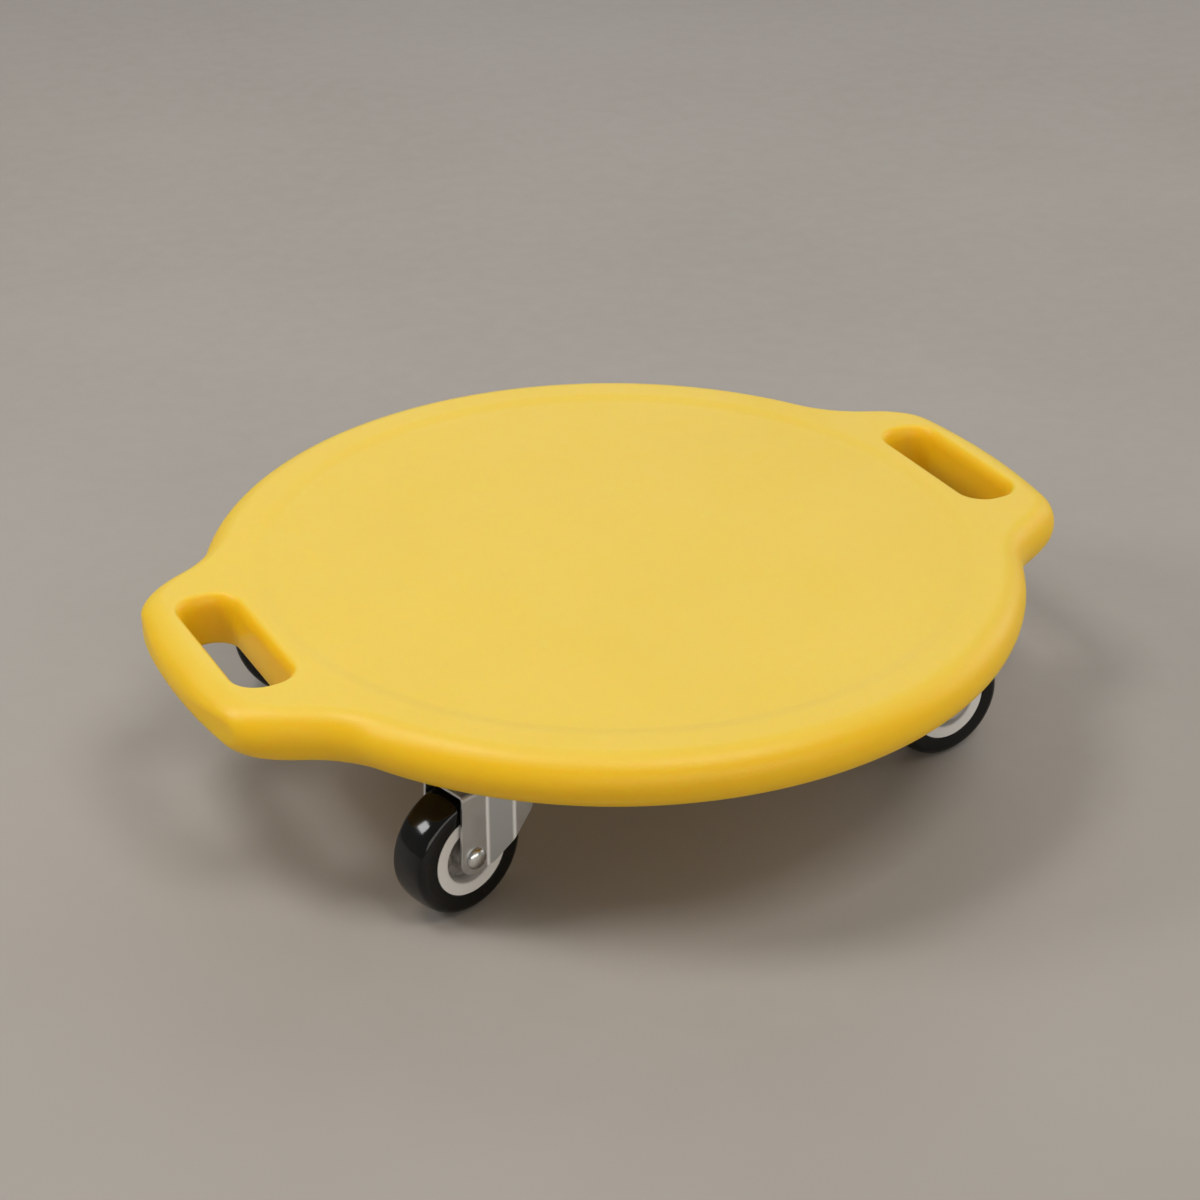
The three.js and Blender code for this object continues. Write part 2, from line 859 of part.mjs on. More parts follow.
function makeCaster({ name, sideX, sideY, turn }) {
  const caster = new THREE.Group();
  caster.position.set(sideX * swivelX, sideY * swivelY, 0);
  caster.add(piece(`${name}_top_plate`, shapes.topPlate, zincSteel));
  caster.add(piece(`${name}_king_pin`, shapes.kingPin, brightSteel));
  caster.add(piece(`${name}_race_cup`, shapes.raceCup, zincSteel));
  screwSpots().forEach(([x, y], i) => {
    const screw = piece(`${name}_screw_${i + 1}`, shapes.screw, brightSteel);
    screw.position.set(x, y, 0);
    caster.add(screw);
  });
  const swivel = new THREE.Group();
  swivel.rotation.z = THREE.MathUtils.degToRad(turn);
  swivel.add(piece(`${name}_fork`, shapes.fork, zincSteel));
  swivel.add(piece(`${name}_ball_row`, shapes.ballRow, brightSteel));
  swivel.add(piece(`${name}_thrust_washer`, shapes.washer, whiteNylon));
  const axleGroup = new THREE.Group();
  axleGroup.position.set(trail, 0, axleHeight);
  axleGroup.add(piece(`${name}_axle_rivet`, shapes.axle, brightSteel));
  axleGroup.add(piece(`${name}_axle_bush`, shapes.bush, brightSteel));
  axleGroup.add(piece(`${name}_hub`, shapes.hub, greyPlastic));
  axleGroup.add(piece(`${name}_tyre`, shapes.tyre, blackRubber));
  swivel.add(axleGroup);
  caster.add(swivel);
  return caster;
}

const scooterBoard = new THREE.Group();
scooterBoard.add(piece("deck", geometryOf(makeBoard()), yellowPlastic));
scooterBoard.add(piece("vent_plug", makePlug(), blackPlastic));
casterPlaces.forEach((place) => scooterBoard.add(makeCaster(place)));

export default scooterBoard;
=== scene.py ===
# %% [markdown]
# # A ride-on scooter board
# A scooter board is a round plastic board with two hand holes. It rolls low over the floor on four casters.
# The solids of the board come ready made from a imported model, which fixes every size and every place.
# This lesson gives each of those solids its real surface: soft moulded edges, pressed sheet, turned metal
# and rubber. All lengths are in metres. Z points up, and X runs through both hand holes.

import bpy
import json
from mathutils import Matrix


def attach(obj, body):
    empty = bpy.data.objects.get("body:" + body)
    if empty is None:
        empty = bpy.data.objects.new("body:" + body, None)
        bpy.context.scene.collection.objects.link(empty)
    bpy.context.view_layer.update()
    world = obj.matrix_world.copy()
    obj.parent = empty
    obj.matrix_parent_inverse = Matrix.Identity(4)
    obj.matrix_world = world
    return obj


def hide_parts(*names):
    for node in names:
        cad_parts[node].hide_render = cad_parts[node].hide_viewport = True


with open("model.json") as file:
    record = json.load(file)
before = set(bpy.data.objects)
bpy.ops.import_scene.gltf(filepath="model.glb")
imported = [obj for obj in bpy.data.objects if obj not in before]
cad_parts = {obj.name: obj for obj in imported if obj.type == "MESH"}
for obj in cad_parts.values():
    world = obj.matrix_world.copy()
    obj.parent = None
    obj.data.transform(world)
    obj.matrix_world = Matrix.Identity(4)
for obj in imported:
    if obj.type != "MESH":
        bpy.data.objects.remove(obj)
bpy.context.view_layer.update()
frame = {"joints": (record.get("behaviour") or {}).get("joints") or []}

# %% Bring in the tools
import json
import math

import bmesh
import bpy
import numpy as np
from mathutils import Vector

full_turn = 2 * math.pi
quarter_turn = math.pi / 2

# %% [markdown]
# ## The camera
# The picture looks down at the board from a little above, with a long lens.
# A long lens keeps the far hand hole nearly as large as the near one, as in a catalogue picture.
# The camera is made first, so that every later step can be judged through it.

# %% Set up the camera
camera_place = (-0.5422, -1.0036, 0.7053)
camera_pitch = 0.5055  # how far it looks down, in radians
camera_yaw = -0.4898
camera_data = bpy.data.cameras.new("camera")
camera_data.lens = 79.5
camera_data.sensor_width = 36
camera = bpy.data.objects.new("camera", camera_data)
camera.location = camera_place
camera.rotation_euler = (quarter_turn - camera_pitch, 0, camera_yaw)
bpy.context.scene.collection.objects.link(camera)
bpy.context.scene.camera = camera
print("camera at", camera_place)

# %% [markdown]
# ## Small helpers
# Blender's operators work on whatever is selected, and the loaded solids start out selected.
# So one helper lets go of everything, and another takes hold of one piece.

# %% Let go, take hold and cut
def let_go():
    if bpy.context.mode != "OBJECT":
        bpy.ops.object.mode_set(mode="OBJECT")
    bpy.ops.object.select_all(action="DESELECT")


def take(piece, mode="OBJECT"):
    let_go()
    piece.select_set(True)
    bpy.context.view_layer.objects.active = piece
    if mode == "EDIT":
        bpy.ops.object.mode_set(mode="EDIT")


def apply_modifier(piece, kind, **settings):
    take(piece)
    bpy.ops.object.modifier_add(type=kind)
    modifier = piece.modifiers[-1]
    for name, value in settings.items():
        setattr(modifier, name, value)
    bpy.ops.object.modifier_apply(modifier=modifier.name)


def combine(piece, other, way):
    apply_modifier(piece, "BOOLEAN", object=other, operation=way, solver="EXACT")
    bpy.data.objects.remove(other)


def join(pieces):
    take(pieces[0])
    for piece in pieces:
        piece.select_set(True)
    bpy.ops.object.join()
    return bpy.context.object


# %% [markdown]
# ## Drawing a shape up
# Moulded and pressed things can be built like a stack of hoops: a ring of points is added, extruded and
# laid on its next level, again and again. Each point carries its number in the ring, so it always finds
# its own place. A point keeps its number when it is extruded, which is what makes this safe.

# %% Number the points of a ring and lay them in place
same_point = 1e-6  # points nearer than this are one point


def number_ring(piece):
    mesh = bmesh.from_edit_mesh(piece.data)
    numbers = mesh.verts.layers.int.new("number")
    for i, vertex in enumerate(mesh.verts):
        vertex[numbers] = i
    bmesh.update_edit_mesh(piece.data)


def lay_ring(piece, places):
    mesh = bmesh.from_edit_mesh(piece.data)
    numbers = mesh.verts.layers.int["number"]
    for vertex in mesh.verts:
        if vertex.select:
            vertex.co = places[vertex[numbers]]
    bmesh.update_edit_mesh(piece.data)


def tidy_mesh(piece):
    take(piece, "EDIT")
    bpy.ops.mesh.select_all(action="SELECT")
    bpy.ops.mesh.remove_doubles(threshold=same_point)
    bpy.ops.mesh.delete_loose()
    bpy.ops.mesh.select_all(action="SELECT")
    bpy.ops.mesh.normals_make_consistent(inside=False)
    let_go()
    if "number" in piece.data.attributes:
        piece.data.attributes.remove(piece.data.attributes["number"])


# %% Draw a ring of points up through its levels
def new_ring(name, places):
    let_go()
    bpy.ops.mesh.primitive_circle_add(vertices=len(places), location=(0, 0, 0))
    piece = bpy.context.object
    piece.name = name
    piece.data.name = name
    bpy.ops.object.mode_set(mode="EDIT")
    bpy.ops.mesh.select_all(action="SELECT")
    number_ring(piece)
    lay_ring(piece, places)
    return piece


def drawn_up(name, levels):
    piece = new_ring(name, levels[0])
    bpy.ops.mesh.edge_face_add()
    for places in levels[1:]:
        bpy.ops.mesh.extrude_region_move()
        lay_ring(piece, places)
    tidy_mesh(piece)
    return piece


# %% [markdown]
# ## Turning a shape
# Wheels, rivets and washers are round about one line, as if turned on a lathe.
# Half of the cross section is drawn as a closed ring of points, and Blender's Spin takes it once round the
# axis. Real turned parts have no knife edges, so every corner of a section is given as its two places and
# the radius of its own small round.

# %% Round the corners of a section
def arc(x, y, radius, start, sweep, steps):
    angles = [start + sweep * step / steps for step in range(steps + 1)]
    return [(x + radius * math.cos(angle), y + radius * math.sin(angle)) for angle in angles]


def rounded(corners, steps=4):
    points = []
    for i, (x, y, radius) in enumerate(corners):
        if radius == 0:
            points.append((x, y))
            continue
        here = Vector((x, y))
        back = (Vector(corners[i - 1][:2]) - here).normalized()
        ahead = (Vector(corners[(i + 1) % len(corners)][:2]) - here).normalized()
        half = back.angle(ahead) / 2
        centre = here + (back + ahead).normalized() * (radius / math.sin(half))
        first = here + back * (radius / math.tan(half)) - centre
        last = here + ahead * (radius / math.tan(half)) - centre
        start = math.atan2(first.y, first.x)
        sweep = math.atan2(first.x * last.y - first.y * last.x, first.dot(last))
        points += arc(centre.x, centre.y, radius, start, sweep, steps)
    return points


def rounded_rectangle(half_x, half_y, radius, steps=8):
    signs = [(1, 1), (-1, 1), (-1, -1), (1, -1)]
    return rounded([(sx * half_x, sy * half_y, radius) for sx, sy in signs], steps)


def at_height(ring, height, x=0, y=0):
    return [(x + dx, y + dy, height) for dx, dy in ring]


# %% Spin a section
def turned(name, section, sides=64, across=False):
    """across lays the axis along Y, as a wheel's axle, instead of upright."""
    if across:
        places = [(radius, along, 0) for radius, along in section]
        axis = (0, 1, 0)
    else:
        places = [(radius, 0, height) for radius, height in section]
        axis = (0, 0, 1)
    piece = new_ring(name, places)
    bpy.ops.mesh.spin(steps=sides, angle=full_turn, center=(0, 0, 0), axis=axis)
    tidy_mesh(piece)
    return piece


def shift(piece, x, y, z):
    take(piece)
    bpy.ops.transform.translate(value=(x, y, z))
    bpy.ops.object.transform_apply(location=True, rotation=True, scale=True)
    return piece


# %% [markdown]
# ## Shading
# Broad faces should look flat and small rounds should look round. Smooth by Angle keeps the true corners,
# and Weighted Normal lets the large faces win over the small ones beside them.

# %% Give a piece its shading
def shade(piece, angle=32):
    take(piece)
    bpy.ops.object.shade_smooth_by_angle(angle=math.radians(angle))
    apply_modifier(piece, "WEIGHTED_NORMAL", keep_sharp=True)
    print(piece.name, len(piece.data.polygons), "faces")


# %% [markdown]
# ## The board's outline
# Seen from above the board is a round disc with a handle on both sides of X.
# It could be drawn as arcs and lines, but the half round rim needs every line further inside as well.
# So each shape is a rule that tells how far a point lies outside it: one for the disc, one for a handle's
# long side and one for its ends. They are put together with a round in every corner where two of them meet.

# %% Describe the outline
board_radius = 0.200
handle_reach = 0.2285
handle_bow = 0.320  # radius of a handle's long side
handle_half = 0.077
handle_corner = 0.027
handle_root = 0.021


def rounded_join(first, second, radius):
    hollow = np.hypot(np.maximum(radius - first, 0), np.maximum(radius - second, 0))
    return np.maximum(radius, np.minimum(first, second)) - hollow


def outside_by(x, y):
    disc = np.hypot(x, y) - board_radius
    side = np.hypot(np.abs(x) - handle_reach + handle_bow, y) - handle_bow
    end = np.abs(y) - handle_half
    handle = -rounded_join(-side, -end, handle_corner)
    return rounded_join(disc, handle, handle_root)


print("a handle reaches past the disc by", round(handle_reach - board_radius, 4))

# %% [markdown]
# ## How deep inside the outline
# The rim is half round all the way, also where the outline bends round a handle's corner.
# Scaling the outline down would make it thinner there. So a search goes out from the middle of the board,
# in each direction, to the place that lies just as deep inside as it should.

# %% Find the line at a given depth
search_steps = 24  # each one halves what is left to search


def radius_at_depth(angles, depth, inner_radius):
    inside = np.full_like(angles, inner_radius)
    outside = np.full_like(angles, handle_reach)
    for _ in range(search_steps):
        middle = (inside + outside) / 2
        is_inside = outside_by(middle * np.cos(angles), middle * np.sin(angles)) < -depth
        inside = np.where(is_inside, middle, inside)
        outside = np.where(is_inside, outside, middle)
    return (inside + outside) / 2


def smooth_step(value):
    share = np.clip(value, 0, 1)
    return share * share * (3 - 2 * share)


# %% [markdown]
# ## The moulded board
# The board is one hollow moulding. From the widest line of the rim the skin rises in a quarter round,
# runs flat as a raised ring, drops in a soft step and ends in the flat dish that the rider sits on.
# Below, it is the same without the step. So one stack of levels is drawn up from the underside to the dish.
# The points of a level stand close together round a handle, where the outline bends most.

# %% Choose the directions round the board
columns = 384
corner_angle = math.asin((handle_half - handle_corner) / handle_reach)
foot_angle = math.asin((handle_half + handle_root) / board_radius)


def quarter_angles():
    handle = np.linspace(0, corner_angle, columns // 16, endpoint=False)
    flank = np.linspace(corner_angle, foot_angle, columns // 16, endpoint=False)
    rest = np.linspace(foot_angle, quarter_turn, columns // 8, endpoint=False)
    return np.concatenate([handle, flank, rest])


first_quarter = quarter_angles()
second_quarter = math.pi - np.concatenate([[quarter_turn], first_quarter[:0:-1]])
half_round = np.concatenate([first_quarter, second_quarter])
board_angles = np.concatenate([half_round, half_round + math.pi])
print("directions round the board:", len(board_angles))

# %% Draw the board's skin
board_under = 0.0782
board_top = 0.1052
board_middle = (board_under + board_top) / 2
rim_radius = (board_top - board_under) / 2
ring_radius = 0.177
ring_step = 0.010
ring_height = 0.0014
rim_steps = 14
step_steps = 8


def board_level(radii, height):
    return [(r * math.cos(a), r * math.sin(a), height) for r, a in zip(radii, board_angles)]


def rim_level(tilt):
    depth = rim_radius * (1 - math.cos(tilt))
    height = board_middle + rim_radius * math.sin(tilt)
    return board_level(radius_at_depth(board_angles, depth, ring_radius), height)


def ring_level(share):
    radius = ring_radius - ring_step * share
    height = board_top - ring_height * float(smooth_step(share))
    return board_level(np.full_like(board_angles, radius), height)


skin_levels = [board_level(np.full_like(board_angles, ring_radius), board_under)]
skin_levels += [rim_level(quarter_turn * step / rim_steps) for step in range(-rim_steps, rim_steps + 1)]
skin_levels += [ring_level(step / step_steps) for step in range(step_steps + 1)]
board = drawn_up("board_moulding", skin_levels)
print("board skin", len(board.data.vertices), "points")

# %% [markdown]
# ## The hand holes
# A hand hole is a long slot with nearly half round ends, and both its mouths are rounded for the fingers.
# Bevelled after cutting, the rounds would tear so near the raised ring's step. So the cutter has them: its
# levels widen towards both mouths like the bell of a trumpet. The upper lip is deep and soft, because the
# palm lies there, and the lower one is a short round.

# %% Make a hand hole cutter
hole_inner = 0.1830
hole_outer = 0.2092
hole_half = 0.044
hole_corner = 0.0115
lip_width = 0.0038
lip_depth = 0.008
under_round = 0.0025
cut_past = 0.001  # how far a cutter runs past what it cuts


def hole_outline(side, offset):
    middle = (hole_inner + hole_outer) / 2
    half_width = (hole_outer - hole_inner) / 2
    ring = rounded_rectangle(half_width + offset, hole_half + offset, hole_corner + offset, steps=12)
    return [(side * (middle + x), side * y) for x, y in ring]


def mouth_curve(width, depth, steps=12):
    return [(depth * (1 - y), width * (1 - x)) for x, y in arc(0, 0, 1, 0, quarter_turn, steps)]


def hole_cutter(side):
    lower_mouth = reversed(mouth_curve(under_round, under_round))
    upper_mouth = mouth_curve(lip_width, lip_depth)
    heights = [(board_under - cut_past, under_round)]
    heights += [(board_under + depth, offset) for depth, offset in lower_mouth]
    heights += [(board_top - depth, offset) for depth, offset in upper_mouth]
    heights += [(board_top + cut_past, lip_width)]
    return drawn_up("hole_cutter", [at_height(hole_outline(side, offset), z) for z, offset in heights])


# %% Cut both hand holes
combine(board, join([hole_cutter(1), hole_cutter(-1)]), "DIFFERENCE")
print("board with hand holes", len(board.data.polygons), "faces")

# %% [markdown]
# ## The underside
# Four raised seats carry the casters, and six hollow cones tie the underside to the top, so that the board
# doesn't drum or sag. Each cone opens in a soft round mouth. The blow hole in the middle is where the
# plastic was inflated.

# %% Add the seats for the casters
pad_under = 0.0770
pad_half = 0.033
pad_corner = 0.008
pad_round = 0.0008


def joints_ending(ending):
    return {j["name"].removesuffix(ending): j for j in frame["joints"] if j["name"].endswith(ending)}


swivels = joints_ending("_swivel")
spins = joints_ending("_wheel_spin")


def seat(place):
    x, y, _ = place
    levels = []
    for inset, height in [(pad_round, pad_under), (0, pad_under + pad_round), (0, board_under + pad_round)]:
        ring = rounded_rectangle(pad_half - inset, pad_half - inset, pad_corner - inset)
        levels.append(at_height(ring, height, x, y))
    return drawn_up("seat", levels)


combine(board, join([seat(swivel["pos_m"]) for swivel in swivels.values()]), "UNION")
print("caster seats", len(swivels))

# %% Shape the cutters of the underside
cone_ring = 0.062
cone_count = 6
cone_mouth = 0.009
cone_end = 0.0045
cone_roof = 0.0045
cone_round = 0.002
vent_radius = 0.004
vent_depth = 0.009
pilot_radius = 0.0026
pilot_depth = 0.016
screw_spacing = 0.045
screw_spots = [(sx * screw_spacing / 2, sy * screw_spacing / 2) for sy in (-1, 1) for sx in (-1, 1)]


def cone_cutter(x, y):
    top = board_top - ring_height - cone_roof
    under = board_under - cut_past
    section = rounded([
        (0, under, 0),
        (cone_mouth + cone_round, under, 0),
        (cone_mouth + cone_round, board_under, 0),
        (cone_mouth, board_under, cone_round),
        (cone_end, top, cone_round),
        (0, top, 0),
    ], steps=6)
    return shift(turned("cone_cutter", section, sides=48), x, y, 0)


def drill(x, y, radius, low, high):
    section = [(0, low), (radius, low), (radius, high), (0, high)]
    return shift(turned("drill", section, sides=24), x, y, 0)


# %% Cut the cones, the blow hole and the pilot holes
cutters = [cone_cutter(x, y) for x, y in arc(0, 0, cone_ring, 0, full_turn, cone_count)[:-1]]
cutters.append(drill(0, 0, vent_radius, board_under - cut_past, board_under + vent_depth))
for swivel in swivels.values():
    for dx, dy in screw_spots:
        x, y, _ = swivel["pos_m"]
        cutters.append(drill(x + dx, y + dy, pilot_radius, pad_under - cut_past, board_under + pilot_depth))
combine(board, join(cutters), "DIFFERENCE")
tidy_mesh(board)
shade(board)

# %% [markdown]
# ## The vent plug
# A small soft plug closes the blow hole. It has a flat head with a finger groove, and two ribs on its shank
# grip the hole.

# %% Turn the vent plug
plug_head = 0.0075
plug_head_height = 0.0016
plug_head_slope = 0.0012
groove_middle = 0.0030
groove_wall = 0.0004
groove_depth = 0.0005
plug_shank = 0.0037
plug_core = plug_shank - 0.0006
plug_tip = plug_shank - 0.001
plug_length = 0.009
rib_half = 0.0007
plug_gap = 0.0003
fine_round = 0.0002
plug_top = board_under - plug_gap
plug_face = plug_top - plug_head_height
first_rib = plug_top + 0.0032
second_rib = plug_top + 0.0062
plug = turned("vent_plug_cap", rounded([
    (0, plug_face, 0),
    (groove_middle - 2 * groove_wall, plug_face, 0.0004),
    (groove_middle - groove_wall, plug_face + groove_depth, 0.0003),
    (groove_middle + groove_wall, plug_face + groove_depth, 0.0003),
    (groove_middle + 2 * groove_wall, plug_face, 0.0004),
    (plug_head - plug_head_slope, plug_face, 0.0008),
    (plug_head, plug_top, fine_round),
    (plug_core, plug_top, fine_round),
    (plug_core, first_rib - rib_half, fine_round),
    (plug_shank, first_rib, fine_round),
    (plug_core, first_rib + rib_half, fine_round),
    (plug_core, second_rib - rib_half, fine_round),
    (plug_shank, second_rib, fine_round),
    (plug_tip, plug_top + plug_length, 0.0005),
    (0, plug_top + plug_length, 0),
]))
shade(plug)

# %% [markdown]
# ## The top plate
# Each caster hangs from a square plate of zinc plated sheet. A dish is pressed down in its middle, and the
# balls run in the groove round it. Four slots take the screws and allow for a drilling that is a little off.

# %% Cut the plate with its slots
plate_half = 0.030
plate_corner = 0.006
plate_sheet = 0.0025
plate_under = 0.0742
plate_top = plate_under + plate_sheet
slot_half_width = 0.0029
slot_length = 0.010


def slot_cutter(x, y):
    ring = rounded_rectangle(slot_length / 2, slot_half_width, slot_half_width)
    heights = (plate_under - cut_past, plate_top + cut_past)
    return drawn_up("slot_cutter", [at_height(ring, z, x, y) for z in heights])


plate_ring = rounded_rectangle(plate_half, plate_half, plate_corner)
plate = drawn_up("top_plate_pressing", [at_height(plate_ring, z) for z in (plate_under, plate_top)])
combine(plate, join([slot_cutter(x, y) for x, y in screw_spots]), "DIFFERENCE")
print("plate with", len(screw_spots), "slots")

# %% Press its dish and soften its edges
dish_under = 0.0702
dish_top = dish_under + plate_sheet
dish_floor = 0.0132
dish_slope = 0.0038
dish_mouth = dish_floor + dish_slope
dish_round = 0.0012
dish_collar = 0.002  # the dish overlaps the sheet by this, so that both become one
pin_bore = 0.0043
edge_round = 0.0003


def soften(piece):
    tidy_mesh(piece)
    apply_modifier(
        piece, "BEVEL", width=edge_round, segments=2, limit_method="ANGLE",
        angle_limit=math.radians(40), use_clamp_overlap=False,
    )
    shade(piece)


dish = turned("dish", rounded([
    (0, dish_under, 0),
    (dish_floor, dish_under, dish_round),
    (dish_mouth, plate_under, dish_round),
    (dish_mouth + dish_collar, plate_under, 0),
    (dish_mouth + dish_collar, plate_top, 0),
    (0, plate_top, 0),
]))
dish_inside = turned("dish_inside", rounded([
    (0, dish_top, 0),
    (dish_floor, dish_top, dish_round),
    (dish_mouth, plate_top, dish_round),
    (dish_mouth, plate_top + cut_past, 0),
    (0, plate_top + cut_past, 0),
]))
combine(plate, dish, "UNION")
combine(plate, dish_inside, "DIFFERENCE")
combine(plate, drill(0, 0, pin_bore, dish_under - cut_past, plate_top), "DIFFERENCE")
soften(plate)

# %% [markdown]
# ## The king pin and its race cup
# A rivet holds the swivel head together. Its upper head sits in the dish and its lower head is
# hammered round under a pressed cup, which carries the plain washer that the fork turns on.

# %% Turn the king pin
crown_under = 0.0635
fork_sheet = 0.0015
crown_top = crown_under + fork_sheet
seat_gap = 0.0003
cup_sheet = 0.0016
washer_height = 0.0028
cup_top = crown_under - washer_height - 2 * seat_gap
cup_under = cup_top - cup_sheet
pin_radius = 0.004
pin_head = 0.007
pin_head_height = 0.0024
pin_low = cup_under - seat_gap
pin_high = dish_top + seat_gap
hammered_height = 0.0026
hammered_flat = 0.0035
hammered_edge = pin_head - 0.0004
hammered_slope = 0.0012
king_pin = turned("king_pin_rivet", rounded([
    (0, pin_low - hammered_height, 0),
    (hammered_flat, pin_low - hammered_height, 0.002),
    (hammered_edge, pin_low - hammered_slope, 0.0012),
    (pin_head, pin_low, fine_round),
    (pin_radius, pin_low, 0.0001),
    (pin_radius, pin_high, 0.0001),
    (pin_head, pin_high, fine_round),
    (pin_head, pin_high + pin_head_height, 0.0009),
    (0, pin_high + pin_head_height, 0),
]), sides=48)
shade(king_pin)

# %% Press the race cup
cup_radius = 0.012
cup_wall = 0.0022
race_cup = turned("race_cup_pressing", rounded([
    (pin_bore, cup_under, fine_round),
    (cup_radius, cup_under, 0.0018),
    (cup_radius, cup_top + cup_wall, 0.0004),
    (cup_radius - cup_sheet, cup_top + cup_wall, 0.0004),
    (cup_radius - cup_sheet, cup_top, 0.0004),
    (pin_bore, cup_top, fine_round),
]))
shade(race_cup)

# %% Turn the thrust washer
washer_radius = 0.010
washer_low = cup_top + seat_gap
washer_high = washer_low + washer_height
washer_middle = washer_low + washer_height / 2
washer_groove = 0.0004
groove_half = washer_height * 0.08
washer = turned("thrust_washer_disc", rounded([
    (pin_bore, washer_low, 0.0003),
    (washer_radius, washer_low, 0.0005),
    (washer_radius, washer_middle - groove_half, 0.0001),
    (washer_radius - washer_groove, washer_middle, 0.0001),
    (washer_radius, washer_middle + groove_half, 0.0001),
    (washer_radius, washer_high, 0.0005),
    (pin_bore, washer_high, 0.0003),
]))
shade(washer)

# %% [markdown]
# ## The ball row
# Eight steel balls roll between the plate's dish and the fork. A thin pressed ring keeps them apart.
# Each ball is a small sphere, set on the ring at its own angle and joined to it.

# %% Set the balls in their ring
ball_radius = 0.0023
ball_ring = 0.0106
ball_count = 8
ball_middle = (crown_top + dish_under) / 2
cage_half = 0.0016
cage_low = ball_middle - 0.0004
cage_high = ball_middle + 0.0006
cage = turned("ball_row_cage", rounded([
    (ball_ring - cage_half, cage_low, 0.0002),
    (ball_ring + cage_half, cage_low, 0.0002),
    (ball_ring + cage_half, cage_high, 0.0003),
    (ball_ring - cage_half, cage_high, 0.0003),
], steps=3))
balls = []
for x, y in arc(0, 0, ball_ring, 0, full_turn, ball_count)[:-1]:
    let_go()
    bpy.ops.mesh.primitive_uv_sphere_add(
        segments=24, ring_count=12, radius=ball_radius, location=(x, y, ball_middle),
    )
    bpy.ops.object.transform_apply(location=True, rotation=True, scale=True)
    balls.append(bpy.context.object)
combine(cage, join(balls), "UNION")
tidy_mesh(cage)
shade(cage, angle=40)

# %% [markdown]
# ## The fork
# The fork is one piece of sheet, bent down on both sides of the wheel. Round the swivel it is wide and
# round, and towards the axle the legs step in close to the wheel, which leaves two crease lines on each leg.
# It could be a flat sheet with a Solidify modifier, but where a bend meets a crease the two skins cross.
# So an outer block gets its rounded bends, an inner block a sheet's thickness smaller is taken out of it,
# and last the side shape is punched out.

# %% Lay out the fork seen from above
trail = 0.030
axle_height = 0.0305
leg_outer = 0.0135
leg_end = 0.0085
head_radius = 0.019
flare_start = 0.023
flare_end = 0.0115
plan_tail = trail + leg_end
bend_round = 0.0024
crease_round = 0.0012
on_line = 1e-5  # a point this near to a line lies on it


def fork_plan(inset, tail, head_steps=28):
    leg = leg_outer - inset
    head = head_radius - inset
    points = [(tail, leg), (flare_start, leg), (flare_end, head)]
    points += arc(0, 0, head, quarter_turn, math.pi, head_steps)
    points += [(flare_end, -head), (flare_start, -leg), (tail, -leg)]
    return points


def near(value, target):
    return abs(value - target) < on_line


# %% Draw a block with rounded creases and bends
def pick_edges(piece, test):
    bpy.ops.mesh.select_mode(type="EDGE")
    bpy.ops.mesh.select_all(action="DESELECT")
    mesh = bmesh.from_edit_mesh(piece.data)
    for edge in mesh.edges:
        edge.select_set(all(test(vertex.co) for vertex in edge.verts))
    bmesh.update_edit_mesh(piece.data)


def fork_block(name, inset, tail, low, high, bend):
    block = drawn_up(name, [at_height(fork_plan(inset, tail), z) for z in (low, high)])
    for crease in (flare_start, flare_end):
        take(block, "EDIT")
        pick_edges(block, lambda co: near(co.x, crease) and abs(co.y) > leg_outer - inset - crease_round)
        bpy.ops.mesh.bevel(offset=crease_round, segments=3, affect="EDGES")
    take(block, "EDIT")
    pick_edges(block, lambda co: near(co.z, high))
    mesh = bmesh.from_edit_mesh(block.data)
    for edge in mesh.edges:
        if all(near(vertex.co.x, tail) for vertex in edge.verts):
            edge.select_set(False)
    bmesh.update_edit_mesh(block.data)
    bpy.ops.mesh.bevel(offset=bend, segments=5, affect="EDGES")
    tidy_mesh(block)
    return block


# %% Take the inner block out of the outer one
leg_low = axle_height - leg_end
fork = fork_block("fork_pressing", 0, plan_tail, leg_low - cut_past, crown_top, bend_round)
inner_bend = bend_round - fork_sheet + seat_gap
inner_low = leg_low - 2 * cut_past
inner = fork_block("inner", fork_sheet, plan_tail + cut_past, inner_low, crown_under, inner_bend)
combine(fork, inner, "DIFFERENCE")
print("folded sheet", len(fork.data.polygons), "faces")

# %% Draw the side shape
fork_tail = 0.0368
heel_run = 0.0075
heel_steps = 14
front_low = (trail - 0.0105, axle_height - 0.0049)
front_top = (0.0032, crown_top - 0.0206)
throat = -0.0004
throat_top = crown_top - 0.010
skirt_under = crown_top - 0.008
side_reach = head_radius + cut_past


def bow(start, bend, end, steps=10):
    """A soft curve from start to end, pulled towards the bend."""
    points = []
    for t in np.linspace(0, 1, steps + 1):
        place = (1 - t) ** 2 * np.array(start) + 2 * t * (1 - t) * np.array(bend) + t**2 * np.array(end)
        points.append(tuple(place))
    return points


def fork_side():
    points = [(-side_reach, crown_top + cut_past), (-side_reach, skirt_under), (throat, skirt_under)]
    points += bow((throat, throat_top), (throat, front_top[1] + front_top[0]), front_top)
    points += bow(front_low, (trail - heel_run, leg_low), (trail, leg_low))
    points += arc(trail, axle_height, leg_end, -quarter_turn, quarter_turn, heel_steps)[1:]
    points.append((fork_tail, crown_top + cut_past))
    return points


